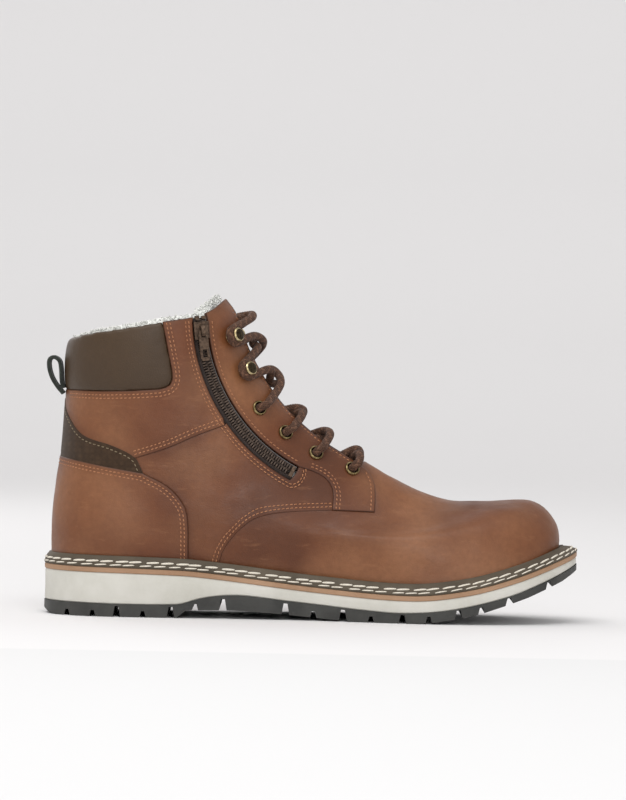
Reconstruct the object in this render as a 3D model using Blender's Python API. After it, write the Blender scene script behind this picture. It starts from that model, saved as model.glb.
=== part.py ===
"""Insulated lace-up ankle boot for the left foot, with a zip on its inner side.

Frame: +X to the toe, -Y to the inner (medial) side, +Z up, origin on the floor under the middle of
the boot's box. Lengths below are millimetres, measured from the back of the heel, the plane through
the heel's middle and the floor; place() turns them into metres in the frame. The upper is one smooth
skin, read by a height share h (0 at the sole, 1 at the collar) and an angle round the foot (0 at the
back of the heel, 90 on the inner side, 180 at the front, 270 on the outer side). Each panel, lining
and foam is a patch of that skin with its own thickness.
"""

import math
from bisect import bisect_right

import bmesh
import bpy
from mathutils import Matrix, Vector
from mathutils.geometry import delaunay_2d_cdt

MM = 0.001
LENGTH = 310.0

SEAM_GAP = 0.3
LEATHER_BACK = -1.8
STIFFENER = (-3.6, -2.4)
LINING = (-7.7, -4.7)
TONGUE_TOP = -9.4

WELT_REACH = 5.2
TOE_EXTRA_REACH = 6.3
WELT_RISE = 6.8
MID_LAYER_THICKNESS = 3.0
LAYER_GAP = 0.3

THROAT_HALF_GAP = 11.0
TONGUE_HALF_WIDTH = 25.0
ZIP_HALF_OPENING = 5.0
LACE_RADIUS = 2.4
LACE_UNDER = -5.9
LACE_TURN = 3.0
EYELET_HOLE = 3.1
EYELET_RIM = 4.4

SLIDER_FROM_TOP = 8.0
SLIDER_HALF_LENGTH = 5.0
PULL_LENGTH = 17.0
PULL_HALF_THICKNESS = 0.5

# Side view of the upper: its four borders.
BACK = [(5.2, 29.8), (5.2, 58.7), (9.0, 91.1), (11.0, 123.4), (11.2, 148), (12.4, 159.5)]
COLLAR = [(12.4, 159.5), (24, 162.2), (43, 165), (67.7, 169.6), (86, 173), (96, 177.5), (103.5, 184.5)]
FEATHER = [(5.2, 29.8), (81.6, 28.2), (102, 26.4), (160.3, 20), (213.4, 17), (245, 20.5),
           (272.5, 28), (298.5, 38.5)]
FRONT = [(298.5, 38.5), (300, 47.2), (298.3, 56), (291, 66), (280.2, 71), (257, 69.6), (234.8, 70),
         (218, 75), (200, 83), (182, 93.5), (162.3, 104.7), (146, 117.3), (132.8, 131.5),
         (118.2, 155), (109.2, 177), (103.5, 184.5)]

# Half-widths of the upper at angles of 30, 60, 90, 120 and 150 degrees, at five heights.
LEVELS = (0.0, 0.12, 0.25, 0.5, 0.75, 1.0)
INNER_WIDTHS = ((28, 32.5, 33, 45, 34), (30.5, 35, 36, 44, 30), (30, 36, 36, 37, 23),
                (26, 36, 36, 29.5, 17), (24, 37, 39, 33, 20), (26, 40, 43.5, 40, 24))
OUTER_WIDTHS = ((29, 34, 42, 49, 31), (31.5, 37, 44, 47, 28), (31, 37, 41, 39.5, 22),
                (26, 37, 37.5, 31, 17), (24, 37, 39, 33, 20), (26, 40, 43.5, 40, 24))

# Side view of the sole: heights along the length.
MID_TOP = [(0, 28.9), (80, 27.3), (102, 25.5), (160, 19), (213, 15.9), (245, 19.5), (272.5, 27),
           (299, 37), (310, 41.3)]
MIDSOLE_BOTTOM = [(0, 8), (78, 7.8), (92, 11.5), (105, 13.4), (118, 13.5), (140, 11.2), (160, 9.3),
                  (185, 7), (208, 5.9), (235, 8.2), (268, 16.2), (290, 25), (310, 34.4)]
TREAD = [(0, 3.5), (4, 0.6), (8, 0), (78, 0), (84, 4.6), (105, 5), (118, 4.8), (141, 3.2), (165, 1.2),
         (186, 0), (214, 0), (228, 1.2), (240, 3.4), (253, 6.5), (268, 11.6), (280, 16), (300, 25),
         (310, 31)]
GROOVES = (44, 75, 105, 141, 174, 208, 240, 269)
GROOVE_HALF_WIDTH = 2.0
GROOVE_DEPTH = 4.4

# Seams in the side view.
COUNTER_FRONT = [(84.3, 27.9), (84.1, 40), (83.8, 52.5), (81.9, 63.6), (72.7, 74.6), (57.5, 82.5)]
COUNTER_TOP = [(57.5, 82.5), (34.5, 86.1), (8, 91.1)]
BACKSTAY_EDGE = [(57.5, 82.5), (52.8, 91.5), (40.4, 97.7), (22.2, 103.9), (12.6, 116.8), (10.4, 124.4)]
PAD_BOTTOM = [(10.2, 129.6), (30, 129.2), (50, 129.8), (66, 131)]
PAD_FRONT = [(66, 131), (72, 133), (74, 138), (71.5, 152), (67.7, 170)]
REAR_SEAM = [(52.8, 91.5), (72, 98), (88, 105.2), (103.9, 111.4)]
VAMP_SEAM = [(101.4, 26.6), (104, 38), (111.1, 48.6), (122.1, 57.8), (137.7, 61.8), (167, 63.7)]
NOSE_SEAM = [(167, 63.7), (190.9, 62.9)]
FACING_NOSE = [(190.9, 62.9), (191.3, 70.1), (190.4, 79.5), (187.2, 85.5)]
THROAT_FOOT = 0.525
FACING_SEAM = [(167, 63.7), (167.2, 74), (164, 80.5), (157, 85), (147.5, 88)]
LINING_SPLIT = [(148, 21.9), (148, 40), (142, 58), (126, 76)]
ZIP_PLACES = [((88.5, 173.5), 0.4), ((105.0, 121.0), -0.6), ((144.5, 84.5), -0.6)]
EYELETS = [(177.6, 86.7), (156.5, 95.6), (138.7, 107.2), (123.3, 121.1)]
HOOKS = [(114, 142.2), (105.8, 162)]

PART_COLOURS = {
    "leather": ((0.24, 0.10, 0.055), 0.55, 0.0),
    "collar_leather": ((0.085, 0.06, 0.04), 0.5, 0.0),
    "backstay_fabric": ((0.065, 0.05, 0.033), 0.8, 0.0),
    "fleece": ((0.75, 0.73, 0.68), 0.95, 0.0),
    "foam": ((0.55, 0.5, 0.4), 0.9, 0.0),
    "stiffener": ((0.5, 0.45, 0.38), 0.7, 0.0),
    "welt": ((0.1, 0.085, 0.065), 0.6, 0.0),
    "tan_layer": ((0.43, 0.27, 0.17), 0.7, 0.0),
    "midsole": ((0.67, 0.65, 0.58), 0.6, 0.0),
    "outsole_rubber": ((0.045, 0.045, 0.042), 0.6, 0.0),
    "board": ((0.4, 0.3, 0.2), 0.8, 0.0),
    "steel": ((0.5, 0.5, 0.5), 0.35, 1.0),
    "antique_brass": ((0.25, 0.2, 0.12), 0.35, 1.0),
    "lace": ((0.13, 0.07, 0.05), 0.85, 0.0),
    "zip_tape": ((0.05, 0.035, 0.03), 0.85, 0.0),
    "zip_metal": ((0.11, 0.085, 0.07), 0.4, 0.6),
    "webbing": ((0.03, 0.033, 0.03), 0.9, 0.0),
}


# ---------------------------------------------------------------- curves and the skin


def smooth_value(knots, values, at):
    """The value at a place on a smooth curve through values at rising knots."""
    last = len(knots) - 1
    if at > knots[-1]:
        return values[-1] + (values[-1] - values[-2]) * ((at - knots[-1]) / (knots[-1] - knots[-2]))
    i = min(max(bisect_right(knots, at) - 1, 0), last - 1)
    span = knots[i + 1] - knots[i]
    s = (at - knots[i]) / span

    def slope(j):
        low, high = max(j - 1, 0), min(j + 1, last)
        return (values[high] - values[low]) / (knots[high] - knots[low])

    start = values[i] * (2 * s**3 - 3 * s**2 + 1) + slope(i) * (span * (s**3 - 2 * s**2 + s))
    end = values[i + 1] * (3 * s**2 - 2 * s**3) + slope(i + 1) * (span * (s**3 - s**2))
    return start + end


class Curve:
    """A smooth curve through points, read by the share of its length."""

    def __init__(self, points):
        self.points = [Vector(p) for p in points]
        reach = [0.0]
        for a, b in zip(self.points, self.points[1:]):
            reach.append(reach[-1] + (b - a).length)
        self.length = reach[-1]
        self.knots = [r / self.length for r in reach]

    def at(self, share):
        return smooth_value(self.knots, self.points, share)

    def spread(self, spacing):
        steps = max(1, math.ceil(self.length / spacing))
        return [self.at(i / steps) for i in range(steps + 1)]


BORDERS = {"back": Curve(BACK), "collar": Curve(COLLAR),
           "feather": Curve(FEATHER), "front": Curve(FRONT)}


def side_view(h, v):
    """A point of the skin in the side view; v runs from the back border to the front border."""
    low, high = BORDERS["feather"], BORDERS["collar"]
    back, front = BORDERS["back"], BORDERS["front"]
    across = low.at(v) * (1 - h) + high.at(v) * h
    along = back.at(h) * (1 - v) + front.at(h) * v
    foot = low.at(0) * (1 - v) + low.at(1) * v
    top = high.at(0) * (1 - v) + high.at(1) * v
    corners = foot * (1 - h) + top * h
    return across + along - corners


def half_width(h, angle):
    """The skin's y at a height and an angle: negative on the inner side."""
    place_in_ring = (angle % 360) / 30
    i = int(place_in_ring)
    rows = []
    for inner, outer in zip(INNER_WIDTHS, OUTER_WIDTHS):
        ring = [0.0] + [-w for w in inner] + [0.0] + list(reversed(outer))
        near = [ring[(i + k) % 12] for k in (-1, 0, 1, 2)]
        rows.append(smooth_value((-1, 0, 1, 2), near, place_in_ring - i))
    return smooth_value(LEVELS, rows, h)


def skin(h, angle):
    v = (1 - math.cos(math.radians(angle))) / 2
    x, z = side_view(h, v)
    return Vector((x, half_width(h, angle), z))


def directions(h, angle):
    """How the skin point moves with the angle and the height, and the outward normal."""
    below, above = max(h - 0.01, 0.0), h + 0.01
    by_angle = (skin(h, angle + 1.5) - skin(h, angle - 1.5)) / 3
    by_height = (skin(above, angle) - skin(below, angle)) / (above - below)
    return by_angle, by_height, by_angle.cross(by_height).normalized()


def layer(h, angle, offset):
    """A point at a distance outside (or, if negative, inside) the skin."""
    return skin(h, angle) + directions(h, angle)[2] * offset


def step(h, angle, along, up):
    """The (h, angle) that lies some millimetres along and up the skin from another."""
    by_angle, by_height, normal = directions(h, angle)
    first = by_angle.normalized()
    second = normal.cross(first)
    if second.dot(by_height) < 0:
        second = -second
    move_h = up / by_height.dot(second)
    move_angle = (along - by_height.dot(first) * move_h) / by_angle.length
    return h + move_h, angle + move_angle


def on_skin(x, z):
    """The (h, angle) on the inner side whose side view is the point (x, z)."""
    target = Vector((x, z))
    tries = [(i / 20, j / 20) for i in range(21) for j in range(21)]
    h, v = min(tries, key=lambda t: (side_view(*t) - target).length)
    for _ in range(12):
        here = side_view(h, v)
        higher, further = min(h + 0.002, 1.0), min(v + 0.002, 1.0)
        dh = (side_view(higher, v) - side_view(h - 0.002, v)) / (higher - h + 0.002)
        dv = (side_view(h, further) - side_view(h, v - 0.002)) / (further - v + 0.002)
        miss = target - here
        scale = dh.x * dv.y - dh.y * dv.x
        h = min(max(h + (miss.x * dv.y - miss.y * dv.x) / scale, 0.0), 1.0)
        v = min(max(v + (dh.x * miss.y - dh.y * miss.x) / scale, 0.0), 1.0)
    return h, math.degrees(math.acos(1 - 2 * v))


def seam(points, spacing=7.0):
    """(h, angle) places along a smooth side-view line on the inner side."""
    return [on_skin(*p) for p in Curve(points).spread(spacing)]


def edge_angle(h, width):
    """The angle at the front where the inner side is a given distance from the middle plane."""
    low, high = 120.0, 180.0
    for _ in range(30):
        middle = (low + high) / 2
        if -half_width(h, middle) > width:
            low = middle
        else:
            high = middle
    return low


def throat_line(width, low, high, steps=14):
    rows = [low + (high - low) * i / steps for i in range(steps + 1)]
    return [(h, edge_angle(h, width)) for h in rows]


def level_line(h, start, end, spacing=7.5):
    steps = max(1, round(abs(end - start) / spacing))
    return [(h, start + (end - start) * i / steps) for i in range(steps + 1)]


def join(*lines):
    """One loop from lines that follow each other, without doubled points."""
    loop = []
    for line in lines:
        for p in line:
            if not loop or abs(p[0] - loop[-1][0]) * 150 + abs(p[1] - loop[-1][1]) > 1.2:
                loop.append(p)
    if abs(loop[0][0] - loop[-1][0]) * 150 + abs(loop[0][1] - loop[-1][1]) <= 1.2:
        loop.pop()
    return loop


def other_side(line):
    """The same line on the outer side, read backwards, for a loop that goes round the toe."""
    return [(h, 360 - angle) for h, angle in reversed(line)]


def round_heel(line):
    """The same line on the outer side, read backwards, for a loop that goes round the heel."""
    return [(h, -angle) for h, angle in reversed(line)]


# ---------------------------------------------------------------- meshes


def middle_of_sole():
    """The y halfway between the sole's inner and outer edges, where the frame's middle plane lies."""
    across = [y for _, y in sole_loop()]
    return (min(across) + max(across)) / 2


def place(point):
    return Vector(((point[0] - LENGTH / 2) * MM, (point[1] - MIDDLE_Y) * MM, point[2] * MM))


def material(name):
    if name in bpy.data.materials:
        return bpy.data.materials[name]
    made = bpy.data.materials.new(name)
    made.use_nodes = True
    colour, roughness, metallic = PART_COLOURS[name]
    surface = made.node_tree.nodes["Principled BSDF"]
    surface.inputs["Base Color"].default_value = (*colour, 1)
    surface.inputs["Roughness"].default_value = roughness
    surface.inputs["Metallic"].default_value = metallic
    return made


def add_object(name, points, faces, surface, sharp=40, centre=None):
    """A named closed mesh from points in millimetres, with its origin at centre."""
    origin = place(centre) if centre is not None else Vector((0, 0, 0))
    mesh = bpy.data.meshes.new(name)
    mesh.from_pydata([place(p) - origin for p in points], [], faces)
    shape = bmesh.new()
    shape.from_mesh(mesh)
    bmesh.ops.recalc_face_normals(shape, faces=shape.faces)
    shape.to_mesh(mesh)
    shape.free()
    mesh.shade_smooth()
    mesh.set_sharp_from_angle(angle=math.radians(sharp))
    mesh.materials.append(material(surface))
    made = bpy.data.objects.new(name, mesh)
    made.location = origin
    bpy.context.scene.collection.objects.link(made)
    return made


def inside(point, loop):
    x, y = point
    within = False
    for (x1, y1), (x2, y2) in zip(loop, loop[1:] + loop[:1]):
        if (y1 > y) != (y2 > y) and x < (x2 - x1) * (y - y1) / (y2 - y1) + x1:
            within = not within
    return within


def distance_to(point, loop):
    p = Vector(point)
    best = 1e9
    for a, b in zip(loop, loop[1:] + loop[:1]):
        a, b = Vector(a), Vector(b)
        run = b - a
        share = min(max((p - a).dot(run) / max(run.length_squared, 1e-12), 0), 1)
        best = min(best, (p - a - run * share).length)
    return best


def triangulate(loops, extra_points=(), extra_lines=()):
    """Flat triangles inside the first loop and outside the others."""
    points, edges = [], []
    for loop in loops:
        start = len(points)
        points += [Vector(p) for p in loop]
        edges += [(start + i, start + (i + 1) % len(loop)) for i in range(len(loop))]
    for a, b in extra_lines:
        edges.append((len(points), len(points) + 1))
        points += [Vector(a), Vector(b)]
    points += [Vector(p) for p in extra_points]
    found, _, faces, *_ = delaunay_2d_cdt(points, edges, [], 0, 1e-6)
    kept = []
    for face in faces:
        middle = sum((found[i] for i in face), Vector((0, 0))) / 3
        if inside(middle, loops[0]) and not any(inside(middle, hole) for hole in loops[1:]):
            kept.append(tuple(face))
    used = sorted({i for face in kept for i in face})
    number = {old: new for new, old in enumerate(used)}
    return [found[i] for i in used], [tuple(number[i] for i in face) for face in kept]


def thick_patch(upper, lower, faces):
    """Points and faces of the closed solid between two like-numbered sheets."""
    count = len(upper)
    solid = [tuple(f) for f in faces] + [tuple(reversed([i + count for i in f])) for f in faces]
    border = {}
    for face in faces:
        for a, b in zip(face, face[1:] + face[:1]):
            border[(a, b)] = True
    for a, b in border:
        if (b, a) not in border:
            solid.append((b, a, a + count, b + count))
    return list(upper) + list(lower), solid


STRETCH = Vector((170.0, 1.6))
GRID_HEIGHTS = (0, 0.03, 0.06, 0.1, 0.14, 0.19, 0.25, 0.32, 0.4, 0.48, 0.56, 0.65, 0.74, 0.83, 0.92, 1)
GRID = [(h, 7.5 * j) for h in GRID_HEIGHTS for j in range(-24, 49)]


def flat(place_on_skin):
    return (place_on_skin[1] * STRETCH.y, place_on_skin[0] * STRETCH.x)


def dense(loop, spacing=9.0):
    """A loop on the skin with points added where it runs far between two."""
    filled = []
    for a, b in zip(loop, loop[1:] + loop[:1]):
        steps = max(1, math.ceil((skin(*b) - skin(*a)).length / spacing))
        rise, turn = (b[0] - a[0]) / steps, (b[1] - a[1]) / steps
        filled += [(a[0] + rise * i, a[1] + turn * i) for i in range(steps)]
    return filled


def shrunk(loop, gap):
    """A loop on the skin with every side moved inwards by a gap."""
    area = sum(a[1] * b[0] - b[1] * a[0] for a, b in zip(loop, loop[1:] + loop[:1]))
    turn = 1 if area > 0 else -1
    moved = []
    for i, (h, angle) in enumerate(loop):
        by_angle, by_height, normal = directions(h, angle)
        first = by_angle.normalized()
        second = normal.cross(first)
        second = second if second.dot(by_height) > 0 else -second
        sides = []
        for k in (-1, 0):
            a, b = loop[(i + k) % len(loop)], loop[(i + k + 1) % len(loop)]
            run = by_angle * (b[1] - a[1]) + by_height * (b[0] - a[0])
            sides.append(Vector((-run.dot(second), run.dot(first))).normalized() * turn)
        middle = sides[0] + sides[1]
        if middle.length < 0.3:
            middle = sides[0]
        middle = middle.normalized()
        reach = gap / max(middle.dot(sides[0]), 0.5)
        moved.append(step(h, angle, middle.x * reach, middle.y * reach))
    return moved


def skin_patch(name, loop, depths, surface, holes=(), gap=SEAM_GAP, sharp=50):
    """A panel of the upper: a loop on the skin between two depths, with round holes."""
    loop = shrunk(dense(loop), gap)
    inner, outer = depths
    loops = [[flat(p) for p in loop]]
    for h, angle, radius in holes:
        turns = [math.radians(30 * k) for k in range(12)]
        ring = [step(h, angle, radius * math.cos(t), radius * math.sin(t)) for t in turns]
        loops.append([flat(p) for p in ring])
    near = []
    for h, angle in GRID:
        at_the_toe = abs((angle + 180) % 360 - 180) > 105
        p = flat((h, angle))
        if not at_the_toe and GRID_HEIGHTS.index(h) % 2 == 1:
            continue
        if not inside(p, loops[0]) or distance_to(p, loops[0]) <= 4.5:
            continue
        if any(inside(p, hole) or distance_to(p, hole) <= 2.5 for hole in loops[1:]):
            continue
        near.append(p)
    points, faces = triangulate(loops, near)
    places = [(p.y / STRETCH.x, p.x / STRETCH.y) for p in points]
    outside = [layer(h, a, outer) for h, a in places]
    backing = [layer(h, a, inner) for h, a in places]
    return add_object(name, *thick_patch(outside, backing, faces), surface, sharp)


# ---------------------------------------------------------------- the sole


def height_on(line, x):
    for (x1, z1), (x2, z2) in zip(line, line[1:]):
        if x <= x2:
            return z1 + (z2 - z1) * (x - x1) / (x2 - x1)
    return line[-1][1]


def smooth_height(line, x):
    return smooth_value([p[0] for p in line], [p[1] for p in line], min(max(x, 0.0), LENGTH))


def mid_top(x):
    return smooth_height(MID_TOP, x)


def sole_loop(inwards=0.0, stations=72):
    """The sole's outline in plan, outside the upper by the width of the welt."""
    loop = []
    for i in range(stations):
        angle = 360 * i / stations
        v = (1 - math.cos(math.radians(angle))) / 2
        reach = WELT_REACH + TOE_EXTRA_REACH * v**5 - inwards
        by_angle = directions(0.0, angle)[0]
        outwards = Vector((by_angle.y, -by_angle.x, 0)).normalized()
        point = skin(0.0, angle) + outwards * reach
        loop.append((point.x, point.y))
    return loop


def groove_lift(x):
    """How far a tread groove rises above the tread at x."""
    room = smooth_height(MIDSOLE_BOTTOM, x) - height_on(TREAD, x)
    for middle in GROOVES:
        if abs(x - middle) < GROOVE_HALF_WIDTH:
            return min(GROOVE_DEPTH, 0.6 * room) * (1 - abs(x - middle) / GROOVE_HALF_WIDTH)
    return 0.0


def slab(name, loop, bottom, top, columns, surface, holes=()):
    """A plate of the sole between two heights along the length."""
    lines = [((x, -80), (x, 80)) for x in columns]
    points, faces = triangulate([loop] + list(holes), (), lines)
    upper = [(p.x, p.y, top(p.x)) for p in points]
    lower = [(p.x, p.y, bottom(p.x)) for p in points]
    return add_object(name, *thick_patch(upper, lower, faces), surface, 30)


def inner_loop(h, offset, stations=48):
    ring = [layer(h, 360 * i / stations, offset) for i in range(stations)]
    return [(p.x, p.y) for p in ring]


def build_sole():
    spread = [4.0 + 9.0 * i for i in range(34)]
    tread_columns = [x for x, _ in TREAD[1:-1]]
    for x in GROOVES:
        tread_columns += [x - GROOVE_HALF_WIDTH, x, x + GROOVE_HALF_WIDTH]
    slab("outsole", sole_loop(0.3), lambda x: height_on(TREAD, x) + groove_lift(x),
         lambda x: smooth_height(MIDSOLE_BOTTOM, x) - LAYER_GAP, sorted(set(tread_columns)), "outsole_rubber")
    mid_bottom = MID_LAYER_THICKNESS + LAYER_GAP
    slab("midsole", sole_loop(0.6), lambda x: smooth_height(MIDSOLE_BOTTOM, x),
         lambda x: mid_top(x) - mid_bottom, spread, "midsole")
    shank_slot = [(69, -7.5), (171, -7.5), (171, 7.5), (69, 7.5)]
    slab("mid_layer", sole_loop(0.2), lambda x: mid_top(x) - MID_LAYER_THICKNESS, mid_top, spread,
         "tan_layer", [shank_slot])
    slab("shank", [(70, -7), (170, -7), (170, 7), (70, 7)], lambda x: mid_top(x) - 2.4,
         lambda x: mid_top(x) - 0.7, spread, "steel")
    slab("insole_board", inner_loop(0.0, LINING[0] - 1.2), lambda x: mid_top(x) + 0.4,
         lambda x: mid_top(x) + 2.4, spread, "board")
    slab("footbed", inner_loop(0.03, LINING[0] - 2.4), lambda x: mid_top(x) + 2.8,
         lambda x: mid_top(x) + 8.0, spread, "fleece")


def build_welt(stations=72):
    """The stitched strip round the upper's foot: a flat ledge with a sloped upstand."""
    points, faces = [], []
    for i in range(stations):
        angle = 360 * i / stations
        v = (1 - math.cos(math.radians(angle))) / 2
        reach = WELT_REACH + TOE_EXTRA_REACH * v**5
        by_angle = directions(0.0, angle)[0]
        outwards = Vector((by_angle.y, -by_angle.x, 0)).normalized()
        foot = skin(0.0, angle)
        wall = layer(0.055, angle, 1.4)
        lean = max((wall - foot).dot(outwards), 1.4)
        section = [(1.5, 0.0), (reach, 0.0), (reach, 3.4), (lean + 2.2, 5.2), (lean + 0.9, WELT_RISE),
                   (lean, WELT_RISE)]
        for out, rise in section:
            p = foot + outwards * out
            points.append((p.x, p.y, mid_top(p.x) + LAYER_GAP + rise))
    count = len(section)
    for i in range(stations):
        for k in range(count):
            a, b = i * count + k, i * count + (k + 1) % count
            c, d = (a + count) % len(points), (b + count) % len(points)
            faces.append((a, b, d, c))
    add_object("welt", points, faces, "welt", 25)


# ---------------------------------------------------------------- the upper


def zip_arc():
    """Centre, axis and frame of the circle that the zip's chain lies on."""
    top, middle, bottom = [layer(*on_skin(*p), depth) for p, depth in ZIP_PLACES]
    a, b = middle - top, bottom - top
    axis = a.cross(b).normalized()
    inwards = (a.cross(b).cross(a) * b.length_squared + b.cross(a.cross(b)) * a.length_squared)
    centre = top + inwards / (2 * a.cross(b).length_squared)
    radius = (top - centre).length
    turn = 2 * math.asin((bottom - top).length / 2 / radius)
    normal = directions(*on_skin(*ZIP_PLACES[1][0]))[2]
    outwards = (middle - centre).normalized()
    lean = math.atan2(normal.dot(outwards), normal.dot(axis))
    return centre, axis, radius, turn, lean, top


ZIP = zip_arc()


def zip_point(distance, across=0.0, height=0.0):
    """A point of the zip: a distance down its arc, to the front, and out from the chain's middle."""
    centre, axis, radius, turn, lean, top = ZIP
    spin = Matrix.Rotation(distance / radius, 3, axis)
    outwards = spin @ (top - centre).normalized()
    up = axis * math.cos(lean) + outwards * math.sin(lean)
    along = axis.cross(outwards).normalized()
    sideways = up.cross(along).normalized()
    return centre + outwards * radius + sideways * across + up * height


def zip_length():
    return ZIP[2] * ZIP[3]


def zip_edge(shift, start=0.0, end=1.0, spacing=8.0):
    """Side-view line beside the zip's chain, from top to bottom."""
    steps = math.ceil((end - start) * zip_length() / spacing)
    line = []
    for i in range(steps + 1):
        p = zip_point(zip_length() * (start + (end - start) * i / steps), shift)
        line.append(on_skin(p.x, p.z))
    return line


def quarter_lines(shift):
    """Loops of the three side panels on the inner side, with the zip's opening beside them."""
    front_edge = zip_edge(shift)
    rear_edge = zip_edge(-shift)
    split = next(i for i, p in enumerate(rear_edge) if skin(*p).z < REAR_SEAM[-1][1] + 1)
    throat = throat_line(THROAT_HALF_GAP, THROAT_FOOT, 1.0)
    top_front = front_edge[0][1]
    facing = join(level_line(1.0, top_front, throat[-1][1]), list(reversed(throat)),
                  list(reversed(seam(FACING_NOSE))), list(reversed(seam(NOSE_SEAM))),
                  seam(FACING_SEAM), list(reversed(front_edge))[:-1])
    backstay = seam(BACKSTAY_EDGE[1:])
    pad_top = on_skin(*PAD_FRONT[-1])[1]
    rear = join(backstay[:-1], [(backstay[-1][0], 0.0), (on_skin(*PAD_BOTTOM[0])[0], 0.0)],
                seam(PAD_BOTTOM)[1:], seam(PAD_FRONT)[1:-1], level_line(1.0, pad_top, rear_edge[0][1]),
                rear_edge[1:split], list(reversed(seam(REAR_SEAM))))
    foot = seam(VAMP_SEAM)
    counter = seam(COUNTER_FRONT)
    quarter = join(seam(REAR_SEAM), rear_edge[split:], list(reversed(seam(FACING_SEAM))),
                   list(reversed(foot)), level_line(0.0, foot[0][1], counter[0][1]), counter,
                   [on_skin(*BACKSTAY_EDGE[1])])
    return facing, rear, quarter


def pair_holes():
    """Places of the eyelets and hooks on the inner side, from the lowest up."""
    return [on_skin(*p) for p in EYELETS], [on_skin(*p) for p in HOOKS]


def build_upper():
    eyelets, hooks = pair_holes()
    holes = [(h, a, 4.1) for h, a in eyelets] + [(h, a, 1.9) for h, a in hooks]
    for side_name, shift in (("medial", ZIP_HALF_OPENING), ("lateral", 0.0)):
        facing, rear, quarter = quarter_lines(shift)
        round_holes = holes
        if side_name == "lateral":
            facing, rear, quarter = [other_side(loop) for loop in (facing, rear, quarter)]
            round_holes = [(h, 360 - a, r) for h, a, r in holes]
        skin_patch(f"facing_{side_name}", facing, (LEATHER_BACK, 0.5), "leather", round_holes)
        skin_patch(f"rear_quarter_{side_name}", rear, (LEATHER_BACK, 0.4), "leather")
        skin_patch(f"quarter_{side_name}", quarter, (LEATHER_BACK, 0.0), "leather")

    top = seam(COUNTER_TOP)
    top[-1] = (top[-1][0], 0.0)
    counter = join(seam(COUNTER_FRONT), top)
    counter_loop = join(counter, round_heel(counter), level_line(0.0, -counter[0][1], counter[0][1]))
    skin_patch("heel_counter_cover", counter_loop, (LEATHER_BACK, 0.8), "leather")

    high = seam(BACKSTAY_EDGE)
    high[-1] = (high[-1][0], 0.0)
    side_edge = join(list(reversed(top)), high)
    skin_patch("backstay", join(side_edge, round_heel(side_edge)), (LEATHER_BACK, 0.5), "backstay_fabric")

    pad_bottom = seam(PAD_BOTTOM)
    pad_bottom[0] = (pad_bottom[0][0], 0.0)
    pad_top = on_skin(*PAD_FRONT[-1])
    half = join(pad_bottom, seam(PAD_FRONT)[1:-1], [(1.0, pad_top[1])])
    pad_loop = join(half, level_line(1.0, pad_top[1], -pad_top[1]), round_heel(half)[1:])
    skin_patch("collar_cover", pad_loop, (-0.2, 2.2), "collar_leather")
    skin_patch("collar_foam", pad_loop, (-4.2, -0.6), "foam", gap=3.0)

    vamp_half = join(seam(VAMP_SEAM), seam(NOSE_SEAM), seam(FACING_NOSE),
                     [(THROAT_FOOT, edge_angle(THROAT_FOOT, THROAT_HALF_GAP))])
    vamp_loop = join(vamp_half, [(THROAT_FOOT, 180.0)], other_side(vamp_half),
                     level_line(0.0, 360 - vamp_half[0][1], vamp_half[0][1]))
    skin_patch("vamp", vamp_loop, (LEATHER_BACK, -0.1), "leather")

    puff_half = seam([(236, 19.3), (240, 45), (252, 69.6)])
    puff_half[-1] = (puff_half[-1][0], 180.0)
    puff_loop = join(puff_half, other_side(puff_half)[1:],
                     level_line(0.0, 360 - puff_half[0][1], puff_half[0][1]))
    skin_patch("toe_puff", puff_loop, STIFFENER, "stiffener", gap=0.5)
    cup_half = seam([(76, 28.4), (75, 50), (60, 71), (34, 78), (7, 82)])
    cup_half[-1] = (cup_half[-1][0], 0.0)
    cup_loop = join(cup_half, round_heel(cup_half)[1:],
                    level_line(0.0, -cup_half[0][1], cup_half[0][1]))
    skin_patch("counter_stiffener", cup_loop, STIFFENER, "stiffener", gap=0.5)


def build_linings():
    rise = seam(LINING_SPLIT)
    start, (turn, corner) = rise[0][1], rise[-1]
    ledge = level_line(turn + 0.03, corner, edge_angle(turn + 0.03, TONGUE_HALF_WIDTH + 2))
    throat = throat_line(TONGUE_HALF_WIDTH + 2, turn + 0.03, 1.0, 8)
    half = join(rise[:-1], ledge, throat)
    loop = join(half, level_line(1.0, throat[-1][1], -throat[-1][1]), round_heel(half),
                level_line(0.0, -start, start))
    skin_patch("quarter_lining", loop, LINING, "fleece", gap=0.6)
    front = join(level_line(0.0, start, 360 - start), list(reversed(other_side(rise))),
                 level_line(turn, 360 - corner, corner), list(reversed(rise)))
    skin_patch("vamp_lining", front, LINING, "fleece", gap=0.8)

    for name, width, low, high, depths, surface in (
            ("tongue", TONGUE_HALF_WIDTH, 0.44, 1.03, (-1.2, 0.0), "leather"),
            ("tongue_foam", TONGUE_HALF_WIDTH - 6, 0.50, 0.95, (-4.2, -2.2), "foam"),
            ("tongue_lining", TONGUE_HALF_WIDTH, 0.44, 1.03, (-6.6, -5.2), "fleece")):
        rows = [low + (high - low) * i / 12 for i in range(13)]
        edge = [(h, edge_angle(min(h, 1.0), width)) for h in rows]
        loop = join(edge, level_line(high, edge[-1][1], 360 - edge[-1][1])[1:], other_side(edge)[1:],
                    level_line(low, 360 - edge[0][1], edge[0][1])[1:])
        skin_patch(name, loop, [TONGUE_TOP + depth for depth in depths], surface)


# ---------------------------------------------------------------- fittings


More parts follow.
